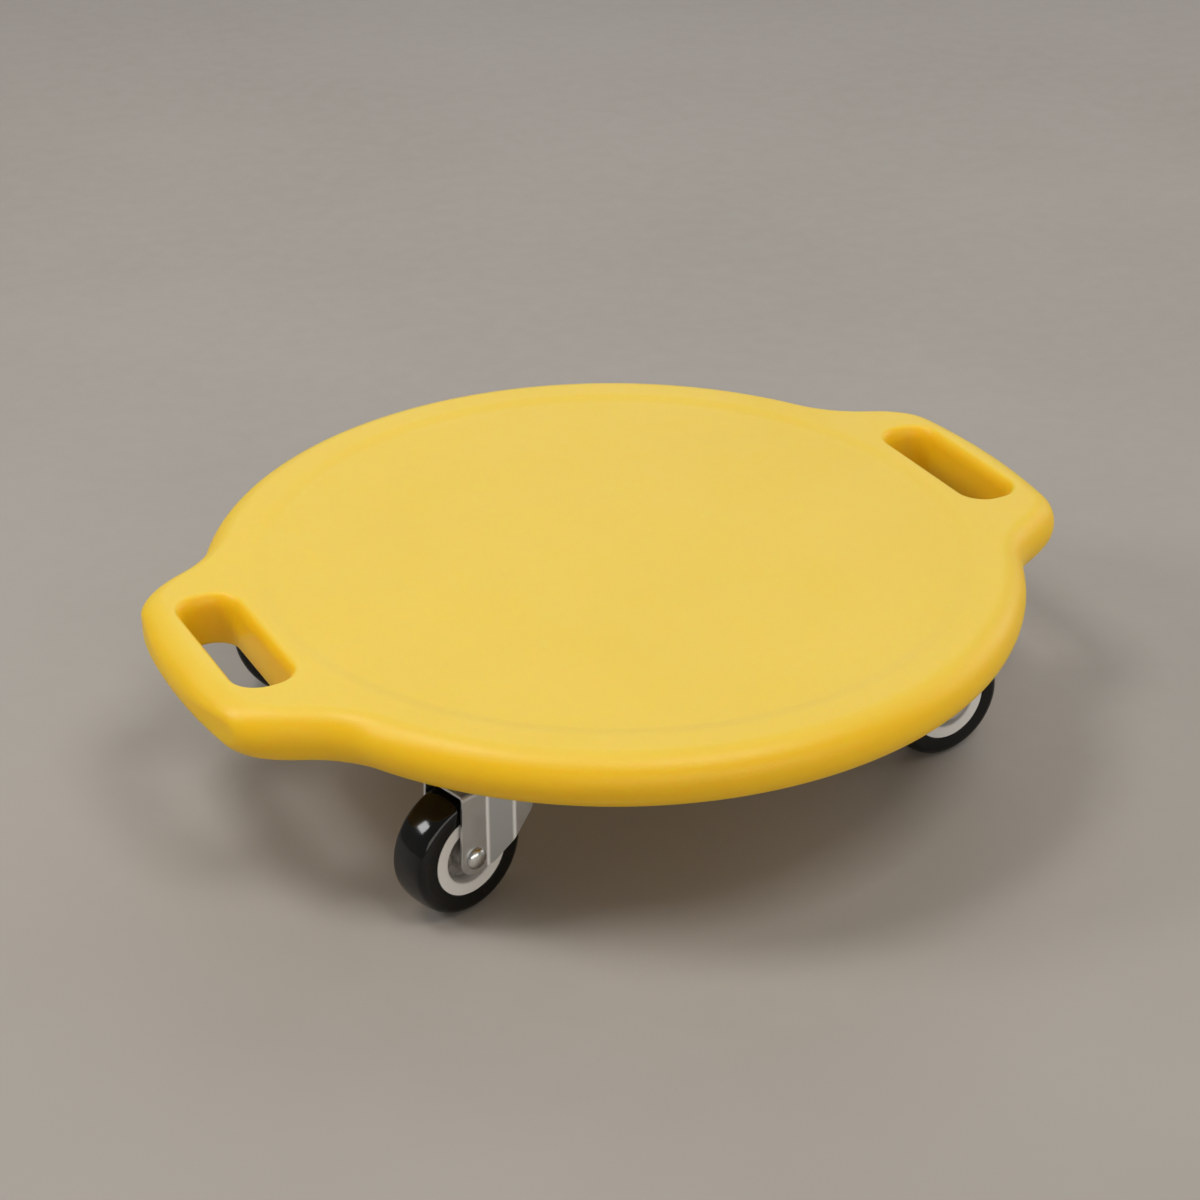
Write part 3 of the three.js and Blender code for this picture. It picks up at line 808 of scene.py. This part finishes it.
# %% Punch out the side shape and drill the axle's holes
side_levels = [[(x, y, z) for x, z in fork_side()] for y in (-side_reach, side_reach)]
combine(fork, drawn_up("side_shape", side_levels), "INTERSECT")
axle_bore = 0.0033
bore_section = [(0, -side_reach), (axle_bore, -side_reach), (axle_bore, side_reach), (0, side_reach)]
axle_drill = shift(turned("axle_drill", bore_section, sides=40, across=True), trail, 0, axle_height)
combine(fork, axle_drill, "DIFFERENCE")
print("fork with side shape", len(fork.data.polygons), "faces")

# %% Raise the lip round the balls and bore the crown
lip_inner = 0.0144
lip_outer = lip_inner + 0.0018
lip_foot = lip_outer + 0.001
lip_root = crown_top - fork_sheet / 2
lip_top = crown_top + 0.0038
lip = turned("lip", rounded([
    (lip_inner, lip_root, 0),
    (lip_inner, lip_top, 0.0006),
    (lip_outer, lip_top, 0.0009),
    (lip_outer, crown_top, 0.0008),
    (lip_foot, crown_top, 0),
    (lip_foot, lip_root, 0),
]))
combine(fork, lip, "UNION")
combine(fork, drill(0, 0, pin_bore, crown_under - cut_past, crown_top + cut_past), "DIFFERENCE")
soften(fork)

# %% [markdown]
# ## The axle and its bush
# The axle is a rivet. Its made head is a dome, which shows on the outside of one leg, and the other end is
# hammered flat. The wheel doesn't turn on the rivet itself but on a hard tube clamped between the legs.

# %% Turn the axle
axle_radius = 0.003
axle_start = -leg_outer - seat_gap
axle_end = leg_outer + seat_gap
dome_radius = 0.0054
dome_height = 0.0028
flat_head = 0.0044
flat_head_slope = 0.0008
flat_head_height = 0.0015


def dome(steps=8):
    return [(dome_radius * x, axle_end + dome_height * y) for x, y in arc(0, 0, 1, 0, quarter_turn, steps)]


axle = turned("axle_rivet_dome", rounded([
    (0, axle_start - flat_head_height, 0),
    (flat_head - flat_head_slope, axle_start - flat_head_height, 0.0006),
    (flat_head, axle_start, fine_round),
    (axle_radius, axle_start, 0.0001),
    (axle_radius, axle_end, 0.0001),
]) + dome(), sides=48, across=True)
shade(axle)

# %% Turn the bush
wheel_half = 0.011
leg_inner = wheel_half + 0.001
bush_radius = 0.005
bush_half = leg_inner - seat_gap
bush = turned("axle_bush_tube", rounded([
    (axle_bore, -bush_half, 0.0003),
    (bush_radius, -bush_half, 0.0004),
    (bush_radius, bush_half, 0.0004),
    (axle_bore, bush_half, 0.0003),
]), sides=40, across=True)
shade(bush)

# %% [markdown]
# ## The wheel
# A pale plastic hub carries a shiny black tyre. On each side the hub has a flat rim, a sloping pocket and a
# boss that keeps the wheel in the middle of the fork. The tyre's tread is slightly crowned between round
# shoulders. Both are the same on both sides, so only half a section is drawn and then mirrored.

# %% Turn the hub
hub_radius = 0.0199
hub_bore = 0.0053
hub_rim_inner = 0.014
hub_face = wheel_half - 0.0005
boss_radius = 0.0082
pocket_radius = 0.0122
pocket_floor = hub_face - 0.0055


def mirrored(half_section):
    return half_section + [(x, -y, r) for x, y, r in reversed(half_section)]


hub = turned("hub_moulding", rounded(mirrored([
    (hub_bore, -wheel_half, 0.0003),
    (boss_radius, -wheel_half, 0.0006),
    (boss_radius, -pocket_floor, 0.0008),
    (pocket_radius, -pocket_floor, 0.0010),
    (hub_rim_inner, -hub_face, 0.0006),
    (hub_radius, -hub_face, fine_round),
])), sides=96, across=True)
shade(hub)

# %% Turn the tyre and set the wheel on its axle
wheel_radius = axle_height  # the wheel stands on the floor
tyre_shoulder = 0.004
tyre_bead = 0.0015
tread_crown = 0.0006


def tread_radius(along):
    return wheel_radius - tread_crown * (along / (wheel_half - tyre_shoulder)) ** 2


tread_lines = np.linspace(-0.6 * wheel_half, -0.05 * wheel_half, 7)  # from the shoulder to the middle
tyre = turned("tyre_rubber", rounded(mirrored([
    (hub_radius + seat_gap, -hub_face, 0.0003),
    (hub_radius + tyre_bead, -hub_face - 0.0002, 0.0003),
    (tread_radius(wheel_half), -wheel_half, tyre_shoulder),
    *[(tread_radius(along), along, 0) for along in tread_lines],
]), steps=12), sides=128, across=True)
shade(tyre, angle=40)
for piece in (axle, bush, hub, tyre):
    shift(piece, trail, 0, axle_height)
print("wheel", 2 * wheel_radius, "across")

# %% [markdown]
# ## The screws
# Sixteen pan head screws hold the casters. The head shows under the plate, so it gets its cross recess,
# and the hidden shank still has its thread, cut as a row of small V shaped rings.

# %% Turn one screw
screw_seat = plate_under - seat_gap
screw_head = 0.0047
screw_head_height = 0.003
screw_face = screw_seat - screw_head_height
screw_flat = 0.6 * screw_head
screw_edge = screw_seat - 0.55 * screw_head_height
screw_shank = 0.0023
screw_end = plate_under + 0.020
screw_point = 0.0025
thread_depth = 0.0005
thread_pitch = 0.0018
thread_count = 8
thread_start = screw_seat + 0.003
thread_root = screw_shank - thread_depth
screw_section = [
    (0, screw_face, 0),
    (screw_flat, screw_face, 0.0008),
    (screw_head, screw_edge, 0.0012),
    (screw_head, screw_seat, fine_round),
    (screw_shank, screw_seat, 0.0001),
]
for number in range(thread_count):
    foot = thread_start + thread_pitch * number
    screw_section += [(thread_root, foot, 0), (screw_shank, foot + thread_pitch / 2, 0)]
screw_section += [(thread_root, screw_end - screw_point, 0), (0, screw_end, 0)]
screw = turned("screw_pan", rounded(screw_section, steps=3), sides=32)
print("screw thread of", thread_count, "rings")

# %% Cut its cross recess
recess_long = 0.0023
recess_thin = 0.0005
recess_depth = 0.0017
recess_taper = 0.55  # how wide the recess still is at its bottom


def recess_arm(long_x):
    half_x, half_y = (recess_long, recess_thin) if long_x else (recess_thin, recess_long)
    levels = []
    for share, height in [(1, -cut_past), (1, 0), (recess_taper, recess_depth)]:
        ring = rounded_rectangle(half_x * share, half_y * share, 0)
        levels.append(at_height(ring, screw_face + height))
    return drawn_up("recess_arm", levels)


combine(screw, recess_arm(True), "DIFFERENCE")
combine(screw, recess_arm(False), "DIFFERENCE")
tidy_mesh(screw)
shade(screw)

# %% [markdown]
# ## Remember each piece's own place
# The caster pieces are copied to four corners and turned there. Brush marks and dirt should turn with them,
# so each point first stores where it is on the unturned piece. The finishes read that as an attribute.
# The board also stores how far each point looks up, because its colour is painted by that: paler on what
# looks up, as painted sheen, and deeper orange on the sides, as painted shade.

# %% Store the own place of each point
def read_points(piece, what):
    values = np.empty(len(piece.data.vertices) * 3, np.float32)
    piece.data.vertices.foreach_get(what, values)
    return values


def remember_place(piece):
    store = piece.data.attributes.new("own_place", "FLOAT_VECTOR", "POINT")
    store.data.foreach_set("vector", read_points(piece, "co"))


def remember_upward(piece):
    store = piece.data.attributes.new("upward", "FLOAT", "POINT")
    store.data.foreach_set("value", np.ascontiguousarray(read_points(piece, "normal")[2::3]))


fixed_patterns = {"top_plate": plate, "king_pin": king_pin, "race_cup": race_cup}
turning_patterns = {
    "fork": fork, "ball_row": cage, "thrust_washer": washer,
    "axle_rivet": axle, "axle_bush": bush, "hub": hub, "tyre": tyre,
}
patterns = [*fixed_patterns.values(), *turning_patterns.values(), screw]
for piece in [*patterns, board, plug]:
    remember_place(piece)
remember_upward(board)
print("places stored on", len(patterns) + 2, "pieces")

# %% [markdown]
# ## Building a finish
# A finish is a small graph: a place on the piece goes through noise, and the noise shifts colour, gloss and
# relief. A short helper adds a node, sets its values and joins its inputs, so that each finish reads as a
# recipe. Most noise only has to wander between two limits, and one helper does that too.

# %% Helpers for finishes
class Finish:
    def __init__(self, name):
        self.material = bpy.data.materials.new(name)
        self.material.use_nodes = True
        self.nodes = self.material.node_tree.nodes
        self.links = self.material.node_tree.links
        self.surface = self.nodes["Principled BSDF"]

    def put(self, socket, value):
        if isinstance(value, bpy.types.NodeSocket):
            self.links.new(value, socket)
        else:
            socket.default_value = value

    def add(self, kind, inputs=(), **settings):
        node = self.nodes.new(kind)
        for name, value in settings.items():
            setattr(node, name, value)
        for name, value in dict(inputs).items():
            self.put(node.inputs[name], value)
        return node

    def place(self, own, scale=(1, 1, 1), move=(0, 0, 0)):
        if own:
            source = self.add("ShaderNodeAttribute", attribute_name="own_place").outputs["Vector"]
        else:
            source = self.add("ShaderNodeTexCoord").outputs["Object"]
        inputs = {"Vector": source, "Scale": scale, "Location": move}
        return self.add("ShaderNodeMapping", inputs).outputs["Vector"]

    def noise(self, place, scale, detail=3, roughness=0.55):
        inputs = {"Vector": place, "Scale": scale, "Detail": detail, "Roughness": roughness}
        return self.add("ShaderNodeTexNoise", inputs).outputs["Fac"]

    def spread(self, value, low, high, start=0.3, end=0.7):
        inputs = {"Value": value, "From Min": start, "From Max": end, "To Min": low, "To Max": high}
        return self.add("ShaderNodeMapRange", inputs).outputs["Result"]

    def wander(self, place, scale, detail=3, low=0, high=1):
        return self.spread(self.noise(place, scale, detail), low, high)

    def math(self, operation, *values):
        node = self.add("ShaderNodeMath", operation=operation)
        for socket, value in zip(node.inputs, values):
            self.put(socket, value)
        return node.outputs["Value"]

    def blend(self, share, first, second):
        node = self.add("ShaderNodeMix", data_type="RGBA")
        self.put(node.inputs["Factor"], share)
        first_colour, second_colour = node.inputs[6:8]  # their names, A and B, belong to other inputs too
        self.put(first_colour, first)
        self.put(second_colour, second)
        return node.outputs[2]

    def relief(self, height, depth, before=None):
        inputs = {"Height": height, "Distance": depth, "Strength": 1.0}
        node = self.add("ShaderNodeBump", inputs)
        if before is not None:
            self.put(node.inputs["Normal"], before)
        return node.outputs["Normal"]

    def set(self, **inputs):
        for name, value in inputs.items():
            self.put(self.surface.inputs[name.replace("_", " ")], value)

    def report(self):
        print(self.material.name, len(self.nodes), "nodes")


# %% [markdown]
# ## Yellow moulded plastic
# The board is polyethylene, dyed right through. It is satin and a little waxy, and light creeps into it.
# Up close it has a fine pebble from the mould and a faint cloudiness; shoes and hands leave dull marks.
# What looks up is painted paler and whiter, as painted sheen. The rim's side and the hole walls are painted
# a deeper orange, as painted shade, and the light creeps further into them, which keeps their shaded parts
# warm.

# %% Mix the yellow plastic
board_finish = Finish("yellow_plastic")
spot = board_finish.place(own=False)
upward = board_finish.add("ShaderNodeAttribute", attribute_name="upward").outputs["Fac"]
cloud = board_finish.wander(spot, 9, 4)
fleck = board_finish.spread(board_finish.noise(spot, 160, 2), 0, 1, 0.35, 0.65)
wear_and_painted_highlight = board_finish.spread(board_finish.noise(spot, 22, 6, 0.7), 0, 1, 0.45, 0.75)
# Painted sheen: the paler, whiter colour given to what looks up.
painted_sheen_top = board_finish.blend(cloud, (0.785, 0.550, 0.058, 1), (0.805, 0.570, 0.066, 1))
painted_sheen_share = board_finish.spread(upward, 0, 1, 0.6, 1)
# Painted shade: the deeper orange given to the sides, blended in by how far a point looks up.
yellow = board_finish.blend(painted_sheen_share, (0.84, 0.520, 0.005, 1), painted_sheen_top)
yellow = board_finish.blend(board_finish.spread(fleck, 0, 0.06, 0, 1), yellow, (0.74, 0.43, 0.010, 1))
gloss = board_finish.spread(wear_and_painted_highlight, 0.42, 0.53, 0, 1)
skin = board_finish.relief(board_finish.noise(spot, 30, 2), 0.00025)
skin = board_finish.relief(board_finish.noise(spot, 1400, 2), 0.00004, skin)
board_finish.set(Base_Color=yellow, Roughness=gloss, Normal=skin, Specular_IOR_Level=0.42)
creep = board_finish.spread(upward, 0.8, 0.4, 0.1, 0.95)
board_finish.set(Subsurface_Weight=creep, Subsurface_Scale=0.012, Subsurface_Radius=(1.0, 0.45, 0.08))
board_finish.report()

# %% [markdown]
# ## Black tyre rubber
# The tyre is moulded in a polished form and nearly new, so it is glossy and shows the lamps clearly.
# The tread is a little duller where it rolls, and holds the first traces of floor dust.

# %% Mix the tyre rubber
to_axle = (-trail, 0, -axle_height)
tread_edge = 0.0300  # the dusty tread begins this far from the axle


def distance_from_axle(finish):
    centred = finish.place(own=True, move=to_axle)
    flat = finish.add("ShaderNodeVectorMath", operation="MULTIPLY")
    finish.put(flat.inputs[0], centred)
    finish.put(flat.inputs[1], (1, 0, 1))
    length = finish.add("ShaderNodeVectorMath", operation="LENGTH")
    finish.put(length.inputs[0], flat.outputs["Vector"])
    return length.outputs["Value"]


tyre_finish = Finish("black_rubber")
spot = tyre_finish.place(own=True)
on_tread = tyre_finish.spread(distance_from_axle(tyre_finish), 0, 1, tread_edge, wheel_radius)
dust = tyre_finish.spread(tyre_finish.noise(spot, 420, 5, 0.7), 0, 1, 0.5, 0.8)
dust_share = tyre_finish.spread(tyre_finish.math("MULTIPLY", on_tread, dust), 0, 0.07, 0, 1)
black = tyre_finish.blend(dust_share, (0.0040, 0.0040, 0.0036, 1), (0.06, 0.05, 0.045, 1))
dull = tyre_finish.spread(on_tread, 0.09, 0.13, 0, 1)
grain = tyre_finish.relief(tyre_finish.noise(spot, 900), 0.000012)
tyre_finish.set(Base_Color=black, Roughness=dull, Normal=grain, Specular_IOR_Level=0.35)
tyre_finish.report()

# %% [markdown]
# ## Pale hub plastic
# The hub is a warm light grey. Its pocket round the axle is painted dark brown towards the middle, unevenly
# in patches: painted shade of the recess. The distance from the axle decides how much.

# %% Mix the hub plastic
pocket_shade_full = 0.0120  # the pocket is painted full shade up to here from the axle
pocket_shade_end = 0.0150
hub_finish = Finish("grey_hub_plastic")
spot = hub_finish.place(own=True)
inside = hub_finish.spread(distance_from_axle(hub_finish), 1, 0, pocket_shade_full, pocket_shade_end)
patches = hub_finish.spread(hub_finish.noise(spot, 260, 5, 0.65), 0.6, 1)
# Painted shade: the pocket is darkened to brown towards the axle, unevenly in patches.
pocket_shade_share = hub_finish.spread(hub_finish.math("MULTIPLY", inside, patches), 0.03, 0.94, 0, 1)
pale = hub_finish.blend(pocket_shade_share, (0.73, 0.71, 0.68, 1), (0.085, 0.064, 0.048, 1))
hub_gloss = hub_finish.wander(spot, 120, 3, 0.38, 0.52)
hub_grain = hub_finish.relief(hub_finish.noise(spot, 1600, 2), 0.00003)
hub_finish.set(Base_Color=pale, Roughness=hub_gloss, Normal=hub_grain)
hub_finish.report()

# %% [markdown]
# ## Zinc plated sheet
# Bright zinc is a soft grey metal with a faint blue or straw tint. Rolling leaves fine lines along the
# sheet, which run down the legs, and handling leaves duller clouds. Between the two creases of a leg the
# sheet is painted darker, as painted shade, and is smoother there, and the creases are painted near white,
# as painted highlights.
# One function mixes both finishes. It is told where the creases are, and leaves the fork's crown plain.

# %% Mix the zinc
def mix_zinc(name, creases=()):
    finish = Finish(name)
    spot = finish.place(own=True)
    colour = finish.blend(finish.wander(spot, 70), (0.66, 0.66, 0.645, 1), (0.72, 0.735, 0.74, 1))
    gloss = finish.spread(finish.noise(spot, 190, 5, 0.65), 0.32, 0.46)
    rolled = finish.noise(finish.place(own=True, scale=(1, 1, 0.04)), 2200)
    metal = 1.0
    if creases:
        axes = finish.add("ShaderNodeSeparateXYZ", {"Vector": spot}).outputs
        on_leg = finish.math("LESS_THAN", axes["Z"], crown_top - bend_round)
        middle = sum(creases) / 2
        half_width = (max(creases) - min(creases)) / 2
        between = finish.math("COMPARE", axes["X"], middle, half_width)
        # Painted shade: the leg between its creases is painted a darker grey.
        painted_shade_band = finish.math("MULTIPLY", between, on_leg)
        colour = finish.blend(painted_shade_band, colour, (0.49, 0.51, 0.515, 1))
        gloss = finish.spread(painted_shade_band, gloss, 0.28, 0, 1)
    # Painted highlight: along each crease the colour is near white and less metallic.
    for line in creases:
        away = finish.math("ABSOLUTE", finish.math("SUBTRACT", axes["X"], line))
        wear_and_painted_highlight = finish.math("MULTIPLY", finish.spread(away, 1, 0, 0.0002, crease_round), on_leg)
        colour = finish.blend(wear_and_painted_highlight, colour, (0.95, 0.96, 0.96, 1))
        metal = finish.spread(wear_and_painted_highlight, metal, 0.3, 0, 1)
    finish.set(Base_Color=colour, Metallic=metal, Roughness=gloss, Normal=finish.relief(rolled, 0.000012))
    finish.report()
    return finish


zinc_finish = mix_zinc("zinc_plated_sheet")
fork_finish = mix_zinc("zinc_plated_fork", (flare_start, flare_end))

# %% [markdown]
# ## Turned steel, nylon and the plug's soft plastic
# The rivets, balls and screws are brighter and smoother than the sheet. The washer is natural nylon,
# a milky white, and the plug is a plain matt black. All three are mixed in one way: two colours that
# change places in clouds, a gloss that wanders, and a fine grain.

# %% Mix the three small finishes
def mix_small(name, colours, cloud_scale, gloss, grain):
    """gloss is given as its noise's scale and detail and its two limits, grain as its scale and depth."""
    finish = Finish(name)
    spot = finish.place(own=True)
    grain_scale, grain_depth = grain
    finish.set(Base_Color=finish.blend(finish.wander(spot, cloud_scale, 4), *colours))
    finish.set(Roughness=finish.wander(spot, *gloss))
    finish.set(Normal=finish.relief(finish.noise(spot, grain_scale, 2), grain_depth))
    finish.report()
    return finish


steel_colours = ((0.60, 0.60, 0.59, 1), (0.68, 0.68, 0.66, 1))
nylon_colours = ((0.70, 0.68, 0.61, 1), (0.60, 0.56, 0.47, 1))
plug_colours = ((0.012, 0.012, 0.012, 1), (0.03, 0.028, 0.025, 1))
steel_finish = mix_small("bright_steel", steel_colours, 150, (500, 4, 0.16, 0.32), (1300, 0.00001))
steel_finish.set(Metallic=1.0)
nylon_finish = mix_small("natural_nylon", nylon_colours, 220, (400, 3, 0.38, 0.5), (1500, 0.00002))
plug_finish = mix_small("black_plug_plastic", plug_colours, 300, (500, 3, 0.5, 0.65), (1800, 0.00004))

# %% [markdown]
# ## Setting the pieces in place
# Each finished piece is hung on the moving body it rides on and gets its finish, and the solid it stands for
# is hidden. The casters' places and the way each wheel trails are read from the model's joints, so nothing
# is measured twice.

# %% Fit the board and the plug
def fit(piece, body, node, slot, finish):
    piece.data.materials.clear()
    piece.data.materials.append(finish.material)
    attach(piece, body)
    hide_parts(node)


fit(board, "board", "deck", "board_plastic", board_finish)
fit(plug, "board", "vent_plug", "plug_plastic", plug_finish)
print("board and plug fitted")

# %% Copy the caster pieces to the four corners
steel_kinds = ("king_pin", "screw", "ball_row", "axle_rivet", "axle_bush")
slots = {kind: ("bright_steel", steel_finish) for kind in steel_kinds}
slots["top_plate"] = slots["race_cup"] = ("zinc_steel", zinc_finish)
slots["fork"] = ("zinc_steel", fork_finish)
slots["thrust_washer"] = ("nylon", nylon_finish)
slots["hub"] = ("hub_plastic", hub_finish)
slots["tyre"] = ("tyre_rubber", tyre_finish)


def copy_to(pattern, name, x, y, turn):
    take(pattern)
    bpy.ops.object.duplicate(linked=False)
    piece = bpy.context.object
    piece.name = name
    piece.data.name = name
    piece.rotation_euler.z = turn
    piece.location = (x, y, 0)
    bpy.ops.object.transform_apply(location=True, rotation=True, scale=True)
    return piece


for corner, swivel in swivels.items():
    x, y, _ = swivel["pos_m"]
    wheel_x, wheel_y, _ = spins[corner]["pos_m"]
    turn = math.atan2(wheel_y - y, wheel_x - x)
    for kind, pattern in fixed_patterns.items():
        piece = copy_to(pattern, f"{corner}_{pattern.name}", x, y, 0)
        fit(piece, "board", f"{corner}_{kind}", *slots[kind])
    for number, (dx, dy) in enumerate(screw_spots, 1):
        piece = copy_to(screw, f"{corner}_{screw.name}_{number}", x + dx, y + dy, 0)
        fit(piece, "board", f"{corner}_screw_{number}", *slots["screw"])
    for kind, pattern in turning_patterns.items():
        body = f"{corner}_wheel" if kind in ("hub", "tyre") else f"{corner}_caster"
        piece = copy_to(pattern, f"{corner}_{pattern.name}", x, y, turn)
        fit(piece, body, f"{corner}_{kind}", *slots[kind])
    print(corner, "caster trails", round(math.degrees(turn), 1), "degrees")

for pattern in patterns:
    bpy.data.objects.remove(pattern)

# %% [markdown]
# ## The floor and the light
# The board stands on a plain pale floor, and soft light comes from several sides, as in a hall with windows.
# Two lamps hang high, one in front and one on the left: they give the short shadow and the pale line along
# the rim's shoulder. A small one low on the left gives the square reflection on the tyre. Wide weak ones in
# front, on the right and at the back fill the shadows, and the world lights the rest evenly.
# From below the floor is clear, so that the casters' fixings can be looked at too.

# %% Lay the floor
let_go()
bpy.ops.mesh.primitive_plane_add(size=12, location=(0, 0, 0))
floor = bpy.context.object
floor.name = "floor"
floor_finish = Finish("pale_floor")
spot = floor_finish.place(own=False)
stone = floor_finish.blend(floor_finish.wander(spot, 3), (0.345, 0.312, 0.275, 1), (0.370, 0.337, 0.300, 1))
floor_finish.set(Base_Color=stone, Roughness=floor_finish.wander(spot, 60, 4, 0.5, 0.62))
clear = floor_finish.add("ShaderNodeBsdfTransparent")
below = floor_finish.add("ShaderNodeNewGeometry").outputs["Backfacing"]
one_sided = floor_finish.add("ShaderNodeMixShader")
shaders = (floor_finish.surface.outputs["BSDF"], clear.outputs["BSDF"])
for socket, value in zip(one_sided.inputs, (below, *shaders)):
    floor_finish.put(socket, value)
floor_finish.put(floor_finish.nodes["Material Output"].inputs["Surface"], one_sided.outputs["Shader"])
floor.data.materials.append(floor_finish.material)
print("floor", floor.dimensions.x, "across")

# %% Hang the lamps
lamp_target = Vector((0, 0, 0.05))


def soft_lamp(name, place, width, height, watts, colour=(1, 1, 1)):
    lamp = bpy.data.lights.new(name, "AREA")
    lamp.shape = "RECTANGLE"
    lamp.size = width
    lamp.size_y = height
    lamp.energy = watts
    lamp.color = colour
    holder = bpy.data.objects.new(name, lamp)
    holder.location = place
    holder.rotation_euler = (lamp_target - Vector(place)).to_track_quat("-Z", "Y").to_euler()
    bpy.context.scene.collection.objects.link(holder)
    print(name, watts, "W")


soft_lamp("high_front_lamp", (0.33, -1.31, 2.95), 1.2, 1.2, 31)
soft_lamp("high_left_lamp", (-1.06, 0.28, 2.42), 0.75, 0.75, 19)
soft_lamp("low_left_lamp", (-1.60, 0.60, 1.23), 0.54, 0.54, 12)
soft_lamp("front_fill", (-0.1, -2.8, 0.75), 3.8, 0.9, 25, (1, 0.95, 0.88))
soft_lamp("right_fill", (2.8, -0.2, 1.0), 2.4, 1.4, 19)
soft_lamp("back_fill", (1.6, 2.9, 2.0), 2.8, 2.8, 18)

# %% Light the world
world_strength = 0.21
world = bpy.data.worlds.new("studio")
bpy.context.scene.world = world
world.use_nodes = True
sky = world.node_tree.nodes["Background"].inputs
sky["Color"].default_value = (1, 0.99, 0.975, 1)
sky["Strength"].default_value = world_strength
bpy.context.scene.view_settings.view_transform = "Standard"
print("world strength", world_strength)
